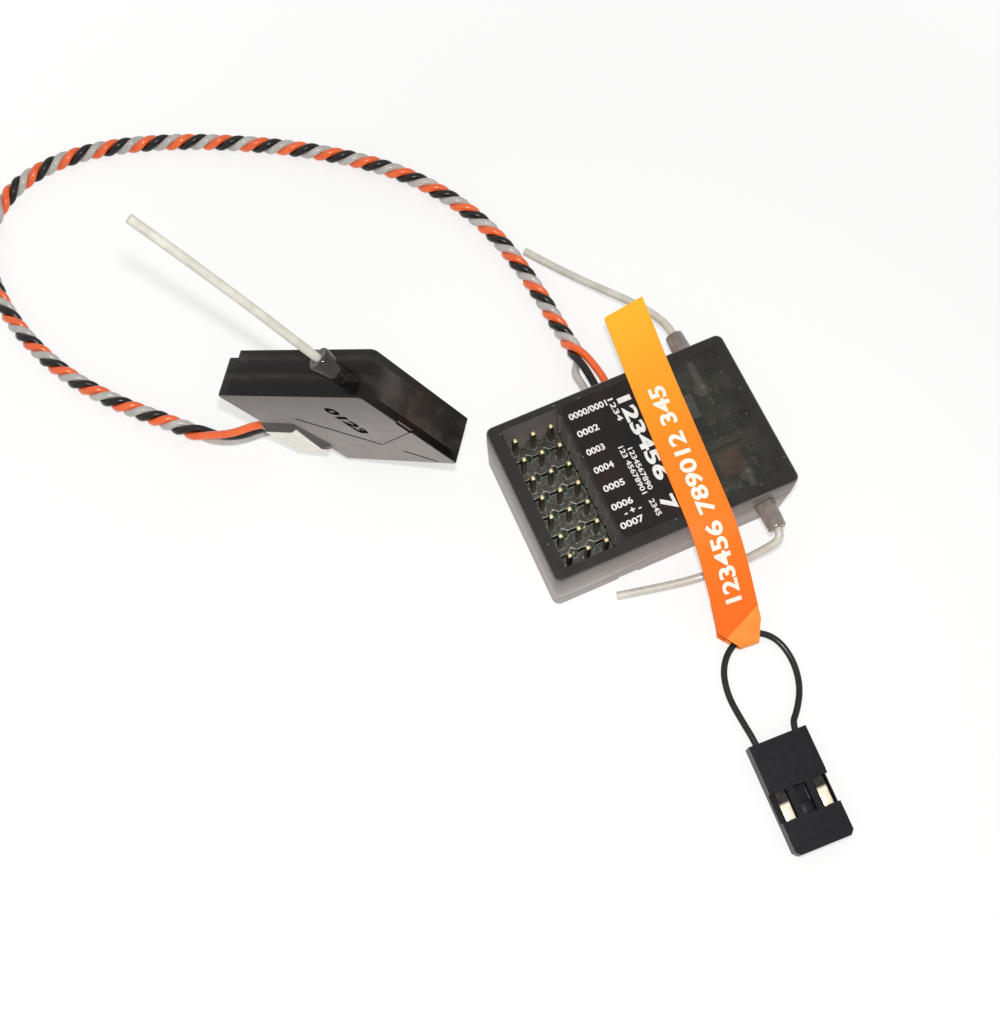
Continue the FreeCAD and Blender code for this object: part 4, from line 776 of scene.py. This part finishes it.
def windAngles(places, ending, look):
    # how far the rope has turned at each place, slowly at both ends, to reach the ending
    speeds = []
    for place in places:
        start = easeBetween(place, *look["looseStart"])
        speeds.append(min(start, easeBetween(places[-1] - place, *look["looseEnd"])))
    angles = [0.0]
    for n in range(1, len(places)):
        angles.append(angles[-1] + (places[n] - places[n - 1]) * (speeds[n] + speeds[n - 1]) / 2)
    natural = angles[-1] * 2 * math.pi / look["lay"]
    turns = round((natural - ending) / (2 * math.pi))
    scale = (ending + turns * 2 * math.pi) / angles[-1]
    return [angle * scale for angle in angles]


def aroundRoute(side, cross, angle):
    return side * math.cos(angle) - cross * math.sin(angle)


def twistWires(look):
    # three lines that wind round the route and lie side by side at both plugs
    track = evenTrack(trackOf(look["points"]), look["step"] * mm)
    tangents, sides = railsOf(track)
    crosses = [tangent.cross(side) for tangent, side in zip(tangents, sides)]
    places = [place / mm for place in placesAlong(track)]
    total = places[-1]
    # the wires have to end as the remote plug's row of contacts
    goal = remoteTurn @ Vector((0, 1, 0))
    ending = -math.atan2(goal.dot(crosses[-1]), goal.dot(sides[-1]))
    angles = windAngles(places, ending, look)
    lines = []
    for wire in range(3):
        line = []
        for n, spot in enumerate(track):
            wound = aroundRoute(sides[n], crosses[n], angles[n] + wire * 2 * math.pi / 3) * look["radius"]
            flat = look["flat"] if places[n] < total / 2 else look["flatEnd"]
            row = aroundRoute(sides[n], crosses[n], angles[n]) * flat * (1 - wire)
            start = 1 - easeBetween(places[n], *look["fanStart"])
            near = max(start, 1 - easeBetween(total - places[n], *look["fanEnd"]))
            if wire == 2:
                row -= sides[n] * look["bulge"] * math.sin(math.pi * start)
            place = spot + wound.lerp(row, near) * mm
            place.z = max(place.z, look["wire"] / 2 * mm)
            line.append(place)
        lines.append(line)
    return track, lines


def layWire(name, line, diameter, material):
    shape = startCurve(name, diameter, 3)
    addSpline(shape, "POLY", line)
    piece = meshOf(newObject(name, shape))
    wear(piece, material)
    return piece


leadTrack, wireLines = twistWires(leadLook)
jackets = (finishes["orangeJacket"], finishes["blackJacket"], finishes["greyJacket"])
wires = []
for number, (line, jacket) in enumerate(zip(wireLines, jackets)):
    wires.append(layWire(f"wire{number}", line, leadLook["wire"], jacket))
twistedLead = joinAll(wires, "twistedLead")
smooth(twistedLead, 60)
carry(twistedLead, "lead_jacket", "lead")
print("cords laid, lead", round(lengthOf(leadTrack) / mm, 1), "mm")


# antenna boots

bootLook = {"neck": 0.93, "root": 1.1, "base": 1.38, "tip": 1.22, "length": 3.75, "bore": 0.56, "sides": 40}
flaredLook = dict(bootLook, neck=1.0, root=0.6, base=1.08, tip=1.5, bore=0.58)


def makeBoot(look):
    # a sleeve along +Z: neck in the wall, foot, flank, rounded rim and bore
    tip, base, length = look["tip"], look["base"], look["length"]
    rings = [
        (look["neck"], -look["root"]), (look["neck"], 0.03), (base - 0.1, 0.03), (base, 0.14),
        (base + (tip - base) * 0.35, length * 0.35), (base + (tip - base) * 0.8, length * 0.78),
        (tip, length - 0.4), (tip, length - 0.2), (tip - 0.06, length - 0.06), (tip - 0.18, length),
        (look["bore"] + 0.12, length - 0.02), (look["bore"], length - 0.14),
        (look["bore"], -look["root"]), (look["neck"], -look["root"]),
    ]
    return turn("boot", rings, look["sides"])


def turn(name, rings, count):
    # rings of radius and height, drawn up one after the other from a circle
    clearSelection()
    radius, height = rings[0]
    bpy.ops.mesh.primitive_circle_add(vertices=count, radius=radius * mm, location=(0, 0, height * mm))
    piece = settle(bpy.context.object, name)
    setMode("EDIT")
    bpy.ops.mesh.select_mode(type="VERT")
    selectAll()
    for nextRadius, nextHeight in rings[1:]:
        bpy.ops.mesh.extrude_region_move(TRANSFORM_OT_translate={"value": (0, 0, (nextHeight - height) * mm)})
        if nextRadius != radius:
            grow = nextRadius / radius
            bpy.ops.transform.resize(value=(grow, grow, 1), center_override=(0, 0, 0))
        radius, height = nextRadius, nextHeight
    selectAll()
    bpy.ops.mesh.remove_doubles(threshold=0.001 * mm)
    endMesh()
    smooth(piece, 50)
    return piece


def facing(direction):
    # turns +Z to the direction
    return Vector(direction).to_track_quat("Z", "Y").to_matrix().to_4x4()


def standing(x, y, z):
    return Matrix.Translation(Vector((x, y, z)) * mm)


def spun(degrees):
    return Matrix.Rotation(math.radians(degrees), 4, "Z")


upperAxis = (upperExit["lean"], 1, upperExit["dip"])
bootPlaces = {
    "boot_front": (bootLook, standing(12.4, -11.3, 6.35) @ facing((0, -1, 0))),
    "boot_rear": (bootLook, standing(12.4, 11.3, 6.35) @ facing((0, 1, 0))),
    "remote_boot_upper": (flaredLook, remoteMatrix @ standing(*upperExit["start"]) @ facing(upperAxis)),
    "remote_boot_lower": (bootLook, remoteMatrix @ standing(6.3, -10.3, 3.4) @ facing((0, -1, 0))),
}
for node, (look, place) in bootPlaces.items():
    sleeve = makeBoot(look)
    sleeve.data.transform(place)
    wear(sleeve, finishes["bootSmoke" if look is flaredLook else "bootRubber"])
    sleeve.name = node + "Sleeve"
    carry(sleeve, "boot_rubber", node)
print("boots made")


# pull tag: a folded strip of film

tagShape = {
    "width": 5.85,
    "film": 0.2,
    "x": 5.0,
    "turn": -4.6,
    # height over distance along the strip, from the free end over the case and round the wire
    "line": [
        (20.0, 11.55), (16.5, 11.2), (13.0, 10.75), (9.0, 10.42), (3.0, 10.4), (-4.0, 10.4),
        (-9.5, 10.42), (-12.0, 10.35), (-15.0, 9.3), (-18.5, 7.0), (-21.8, 4.4), (-23.9, 2.7),
        (-25.2, 1.95), (-26.2, 1.5), (-26.45, 0.7), (-26.0, 0.26), (-25.1, 0.24), (-24.4, 0.5),
        (-24.0, 1.2), (-23.5, 2.2), (-22.3, 3.4), (-20.5, 5.1),
    ],
    "corner": 0.25,
    "nearCorner": 0.02,
    # cuts across the strip: a place on each and the side that falls away
    "cuts": (
        ((2.925, 20.0), (-0.209, 0.978)), ((-2.1, -24.8), (-0.72, -0.69)), ((2.2, -25.6), (0.93, -0.36)),
    ),
    "crease": ((2.9, -22.3), (0.45, -0.89)),
}


def cutTag(piece, place, side, clear):
    selectOnly(piece)
    setMode("EDIT")
    selectAll()
    bpy.ops.mesh.bisect(plane_co=(place[0] * mm, place[1] * mm, 0), plane_no=(*side, 0), clear_outer=clear)
    setMode("OBJECT")


def makeTag(look):
    line = bpy.data.curves.new("tagLine", "CURVE")
    line.dimensions = "2D"
    line.fill_mode = "NONE"
    line.extrude = look["width"] / 2 * mm
    addSpline(line, "NURBS", [Vector((along, height, 0)) * mm for along, height in look["line"]])
    piece = meshOf(newObject("pullTagFilm", line))
    # the curve's x runs along the strip, its y is the height, its z the width
    piece.data.transform(Matrix(((0, 0, 1, 0), (1, 0, 0, 0), (0, 1, 0, 0), (0, 0, 0, 1))))
    for place, side in look["cuts"]:
        cutTag(piece, place, side, True)
    cutTag(piece, *look["crease"], False)
    (x, y), (sideX, sideY) = look["crease"]
    wear(piece, finishes["tagFilm"], finishes["tagFold"])
    for face in piece.data.polygons:
        past = (face.center.x / mm - x) * sideX + (face.center.y / mm - y) * sideY
        face.material_index = 1 if past > 0 else 0
    return piece


def roundFreeEnd(piece, look):
    (x, y), (sideX, sideY) = look["cuts"][0]
    edge = look["width"] / 2 - look["nearCorner"]

    def atCorner(co):
        past = (co.x / mm - x) * sideX + (co.y / mm - y) * sideY
        return abs(co.x / mm) > edge and past > -look["nearCorner"]

    pickPoints(piece, atCorner)
    bpy.ops.mesh.bevel(offset=look["corner"] * mm, segments=4, affect="VERTICES")
    endMesh()


tagPlace = standing(tagShape["x"], 0, 0) @ spun(tagShape["turn"])
tagPiece = makeTag(tagShape)
roundFreeEnd(tagPiece, tagShape)
tagPiece.data.transform(tagPlace)
settle(tagPiece, "pullTagFilm")
useModifier(tagPiece, "SOLIDIFY", thickness=tagShape["film"] * mm, offset=0)
smooth(tagPiece, 30)
carry(tagPiece, "tag_film", "pull_tag")
print("tag folded")


# plain figures and strokes in the places of the print

markLook = {
    "film": 0.012,
    "lift": 0.008,
    "letter": 1.4,    # letter size over the height of its figures
    "rows": (
        ("0000/0001", 5.3, (-3.6, 8.31)), ("0002", 3.0, (-4.77, 5.7)), ("0003", 2.5, (-5.0, 2.93)),
        ("0004", 2.7, (-5.08, 0.31)), ("0005", 2.9, (-4.94, -2.42)), ("- + -", 2.3, (-4.2, -6.31)),
        ("0006", 2.9, (-5.07, -5.06)), ("0007", 3.2, (-4.95, -7.77)),
    ),
    "rowHeight": 0.92,
    "rowBold": 0.035,
    # figures, height and both ends of each line that reads along -Y
    "columns": (
        ("123456", 1.9, (1.35, 8.2), (1.2, -4.2)), ("7", 1.95, (0.3, -6.3), (0.3, -8.4)),
        ("1234", 0.75, (-0.35, 8.6), (-0.3, 5.25)), ("1234567890", 0.72, (-0.95, 1.36), (-0.9, -4.8)),
        ("123 45678901", 0.72, (-1.95, 2.0), (-1.85, -5.0)), ("2345", 0.72, (-1.5, -6.0), (-1.4, -8.35)),
    ),
    "largeBold": 0.1,
    "smallBold": 0.02,
    "tagWords": "123456 789012 345",
    "tagHeight": 2.25,
    "tagFrom": -21.1,
    "tagTo": 7.8,
    "tagBold": 0.09,
    "tagCuts": 64,    # across the figures, where they bend with the strip
    "lidWords": "0123",
    "lidPlace": (3.9, 3.15),
    "lidLevel": 6.1,
    "lidSize": (7.8, 1.75),
    "lidBold": 0.13,
}


def inkText(words, width, height, bold):
    # thin figures round the origin, reading along +X, made to the given size
    clearSelection()
    bpy.ops.object.text_add()
    text = bpy.context.object
    text.data.body = words
    text.data.size = height * markLook["letter"] * mm
    text.data.offset = bold * mm
    text.data.extrude = markLook["film"] / 2 * mm
    text.data.resolution_u = 3
    piece = meshOf(text)
    xs = [point.co.x for point in piece.data.vertices]
    ys = [point.co.y for point in piece.data.vertices]
    wide, high = max(xs) - min(xs), max(ys) - min(ys)
    tall = height * mm / high if words[0].isdigit() else 1
    middle = Vector((max(xs) + min(xs), max(ys) + min(ys), 0)) / 2
    piece.data.transform(Matrix.Diagonal((width * mm / wide, tall, 1, 1)) @ Matrix.Translation(-middle))
    return piece


def printLabel(look):
    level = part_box("label")[1][2] / mm + look["lift"]
    pieces = []
    for words, width, (x, y) in look["rows"]:
        piece = inkText(words, width, look["rowHeight"], look["rowBold"])
        piece.data.transform(standing(x, y, level))
        pieces.append(piece)
    for words, height, start, end in look["columns"]:
        start, end = Vector(start), Vector(end)
        bold = look["largeBold" if height > 1 else "smallBold"]
        piece = inkText(words, (end - start).length, height, bold)
        middle = (start + end) / 2
        heading = math.atan2(end.y - start.y, end.x - start.x)
        piece.data.transform(standing(middle.x, middle.y, level) @ Matrix.Rotation(heading, 4, "Z"))
        pieces.append(piece)
    figures = joinAll(pieces, "labelFigures")
    wear(figures, finishes["whiteInk"])
    carry(figures, "label_film")


def printTag(look, shape):
    # the figures follow the bend of the strip
    track = trackOf([(0, along, height) for along, height in shape["line"]])
    places = placesAlong(track)
    start = next(place for place, spot in zip(places, track) if spot.y < look["tagFrom"] * mm)
    end = next(place for place, spot in zip(places, track) if spot.y < look["tagTo"] * mm)
    width = start - end
    figures = inkText(look["tagWords"], width / mm, look["tagHeight"], look["tagBold"])
    selectOnly(figures)
    setMode("EDIT")
    cuts = look["tagCuts"]
    for n in range(1, cuts):
        selectAll()
        bpy.ops.mesh.bisect(plane_co=((n / cuts - 0.5) * width, 0, 0), plane_no=(1, 0, 0))
    setMode("OBJECT")
    lift = (shape["film"] / 2 + look["lift"]) * mm
    for point in figures.data.vertices:
        along = start - width / 2 - point.co.x
        n = max(k for k in range(len(track) - 1) if places[k] <= along)
        step = (track[n + 1] - track[n]).normalized()
        spot = track[n] + step * (along - places[n])
        point.co = spot + Vector((-point.co.y, 0, 0)) + Vector((0, step.z, -step.y)) * (lift + point.co.z)
    figures.data.transform(tagPlace)
    settle(figures, "tagFigures")
    wear(figures, finishes["tagInk"])
    carry(figures, "tag_film")


def printLid(look):
    figures = inkText(look["lidWords"], *look["lidSize"], look["lidBold"])
    figures.data.transform(spun(-90))
    figures.data.transform(remoteMatrix @ standing(*look["lidPlace"], look["lidLevel"] + look["lift"]))
    settle(figures, "lidFigures")
    wear(figures, finishes["engraving"])
    carry(figures, "smoked_lid")


printLabel(markLook)
printTag(markLook, tagShape)
printLid(markLook)
print("figures printed")


# small parts on the boards

partLook = {
    "length": 1.0, "width": 0.5, "height": 0.36, "cap": 0.22, "raise": 0.02, "edge": 0.03,
    # on the radio board: x, y and turn
    "radioSpots": (
        (12.9, 4.4, 90), (13.7, 1.9, 0), (11.4, 1.5, 0), (9.2, 0.8, 90), (7.5, 0.7, 90), (8.3, -2.3, 0),
        (8.2, -4.4, 90), (7.0, -5.2, 0), (8.6, -7.6, 0), (10.5, -7.9, 0), (14.2, -3.6, 90),
        (14.2, -5.4, 90), (5.2, 1.3, 0), (5.3, 7.4, 90), (8.2, 8.0, 0), (10.2, 7.9, 0), (4.7, -5.7, 90),
        (14.2, 5.6, 90),
    ),
    "radioFloor": 5.8,
    "remoteSpots": ((10.3, -4.6, 90), (10.3, -1.4, 90), (9.6, 1.9, 0), (10.2, 4.6, 90)),
    "remoteFloor": 2.7,
}


def makeResistor(look):
    clearSelection()
    bpy.ops.mesh.primitive_cube_add(size=1, location=(0, 0, look["height"] / 2 * mm))
    piece = bpy.context.object
    piece.scale = (look["length"] * mm, look["width"] * mm, look["height"] * mm)
    piece = settle(piece, "boardPart")
    wear(piece, finishes["tanCeramic"], finishes["tinned"])
    waist = look["length"] / 2 - look["cap"]
    setMode("EDIT")
    for side in (-1, 1):
        selectAll()
        bpy.ops.mesh.bisect(plane_co=(side * waist * mm, 0, 0), plane_no=(side, 0, 0))
    pickFaces(piece, lambda face: abs(face.center.x) > waist * mm and abs(face.normal.x) < 0.5)
    bpy.ops.mesh.extrude_region_shrink_fatten(TRANSFORM_OT_shrink_fatten={"value": look["raise"] * mm})
    setMode("OBJECT")
    for face in piece.data.polygons:
        face.material_index = 1 if abs(face.center.x) > (waist - 0.001) * mm else 0
    bevel(piece, look["edge"], 40)
    smooth(piece, 40)
    return piece


def spread(pattern, places, name, slot):
    copies = [copyOf(pattern, place, name) for place in places]
    carry(joinAll(copies, name), slot)


def boardPlaces(spots, floor):
    return [standing(x, y, floor) @ spun(degrees) for x, y, degrees in spots]


resistor = makeResistor(partLook)
radioPlaces = boardPlaces(partLook["radioSpots"], partLook["radioFloor"])
remotePlaces = boardPlaces(partLook["remoteSpots"], partLook["remoteFloor"])
spread(resistor, radioPlaces, "radioBoardParts", "chip_body")
spread(resistor, [remoteMatrix @ place for place in remotePlaces], "remoteBoardParts", "chip_body")
bpy.data.objects.remove(resistor)

solderLook = {
    "rings": ((1.1, 0.0), (0.98, 0.1), (0.8, 0.45), (0.68, 0.8), (0.45, 1.1), (0.2, 1.24), (0.04, 1.27)),
    "spots": ((12.5, 6.6), (12.5, -6.6)),
    "sides": 20,
}
solder = turn("solderDrop", solderLook["rings"], solderLook["sides"])
setMode("EDIT")
selectAll()
bpy.ops.mesh.fill_holes(sides=0)
endMesh()
wear(solder, finishes["solderBright"])
solderPlaces = [standing(x, y, partLook["radioFloor"]) for x, y in solderLook["spots"]]
spread(solder, solderPlaces, "antennaSolder", "bright_metal")
bpy.data.objects.remove(solder)
print("board parts placed")


# the block between the two windows of the bind plug, and the sprung tongue of each terminal

bindLook = {
    "place": (0.95, -38.15, 0),
    "turn": -2.6,
    "block": (1.7, 1.5, 0.9),
    "blockSpot": (0, -9.1, 1.45),
    "blockEdge": 0.08,
    "tongue": (1.15, 1.6, 0.14),
    "tongueSpots": ((-2.54, -8.95), (2.54, -8.95)),
    "tongueLift": 0.05,
    "tongueEdge": 0.03,
    "slope": 0.25,             # share of the length added as a slope
    "narrow": (0.8, 1, 0.6),
}


def makeBlock(name, size, spot, material, edge):
    # a block with its far end sloped off and its edges eased
    clearSelection()
    bpy.ops.mesh.primitive_cube_add(size=1, location=[value * mm for value in spot])
    piece = bpy.context.object
    piece.scale = [value * mm for value in size]
    piece = settle(piece, name)
    foot = (spot[0] * mm, (spot[1] - size[1] / 2) * mm, (spot[2] - size[2] / 2) * mm)
    pickFaces(piece, lambda face: face.normal.y < -0.9)
    step = (0, -bindLook["slope"] * size[1] * mm, 0)
    bpy.ops.mesh.extrude_region_move(TRANSFORM_OT_translate={"value": step})
    bpy.ops.transform.resize(value=bindLook["narrow"], center_override=foot)
    setMode("OBJECT")
    bevel(piece, edge, 40)
    smooth(piece, 40)
    wear(piece, material)
    return piece


bindPlace = standing(*bindLook["place"]) @ spun(bindLook["turn"])
block = makeBlock(
    "plugBlock", bindLook["block"], bindLook["blockSpot"], finishes["blackMoulding"], bindLook["blockEdge"])
block.data.transform(bindPlace)
carry(block, "black_moulding")
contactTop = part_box("bind_contact_left")[1][2] / mm
tongues = []
for x, y in bindLook["tongueSpots"]:
    spot = (x, y, contactTop + bindLook["tongueLift"])
    tongue = makeBlock("tongue", bindLook["tongue"], spot, finishes["contactMetal"], bindLook["tongueEdge"])
    tongue.data.transform(bindPlace)
    tongues.append(tongue)
carry(joinAll(tongues, "plugTongues"), "gold_metal")
print("bind plug finished")


# floor, world and lamp

roomLook = {
    "lampPlace": Vector((-30, -38, 163)),    # beside the camera, where the shadows on the table point to
    "lampAim": Vector((-20, 20, 0)),
    "lampSize": 6,
    "lampPower": 0.16,
    "skyStrength": 0.5,
    "floorTone": (0.86, 0.86, 0.855, 1),
    "floorRough": 0.7,
    "floorDrop": 0.02,
    "glowTone": (1, 1, 0.995, 1),
    "glow": 1.15,
    "glowShare": 0.52,    # up to the near distance, and all of it from the far one on
    "near": 60,
    "far": 200,
}


def seenRays(tree):
    # 1 for what the camera sees, straight, mirrored or through the plastic
    rays = put(tree, "LightPath").outputs
    seen = biggest(tree, rays["Is Camera Ray"], rays["Is Glossy Ray"])
    return biggest(tree, seen, rays["Is Transmission Ray"])


def lightRoom(look):
    world = bpy.data.worlds.new("softRoom")
    bpy.context.scene.world = world
    world.use_nodes = True
    tree = world.node_tree
    background = tree.nodes["Background"]
    background.inputs["Color"].default_value = (1, 1, 1, 1)
    sky = ranged(tree, seenRays(tree), 0, 1, look["skyStrength"], 1.0)
    tree.links.new(sky, background.inputs["Strength"])
    bpy.ops.object.light_add(type="AREA", location=look["lampPlace"] * mm)
    lamp = bpy.context.object
    lamp.data.shape = "DISK"
    lamp.data.size = look["lampSize"] * mm
    lamp.data.energy = look["lampPower"]
    lamp.rotation_mode = "QUATERNION"
    lamp.rotation_quaternion = (look["lampPlace"] - look["lampAim"]).to_track_quat("Z", "Y")


def layFloor(look):
    clearSelection()
    bpy.ops.mesh.primitive_plane_add(size=4, location=(0, 0, -look["floorDrop"] * mm))
    floor = settle(bpy.context.object, "tableTop")
    material, tree, bsdf = startMaterial("whiteTable")
    bsdf.inputs["Base Color"].default_value = look["floorTone"]
    bsdf.inputs["Roughness"].default_value = look["floorRough"]
    glow = put(tree, "Emission", {"Color": look["glowTone"], "Strength": look["glow"]})
    away = put(tree, "VectorMath", {0: objectSpot(tree)}, operation="LENGTH").outputs["Value"]
    white = ranged(tree, away, look["near"] * mm, look["far"] * mm, look["glowShare"], 1)
    share = times(tree, seenRays(tree), white)
    mix = put(tree, "MixShader", {0: share, 1: bsdf.outputs[0], 2: glow.outputs[0]})
    tree.links.new(mix.outputs[0], tree.nodes["Material Output"].inputs["Surface"])
    wear(floor, material)


lightRoom(roomLook)
layFloor(roomLook)
bpy.context.scene.view_settings.view_transform = "Standard"
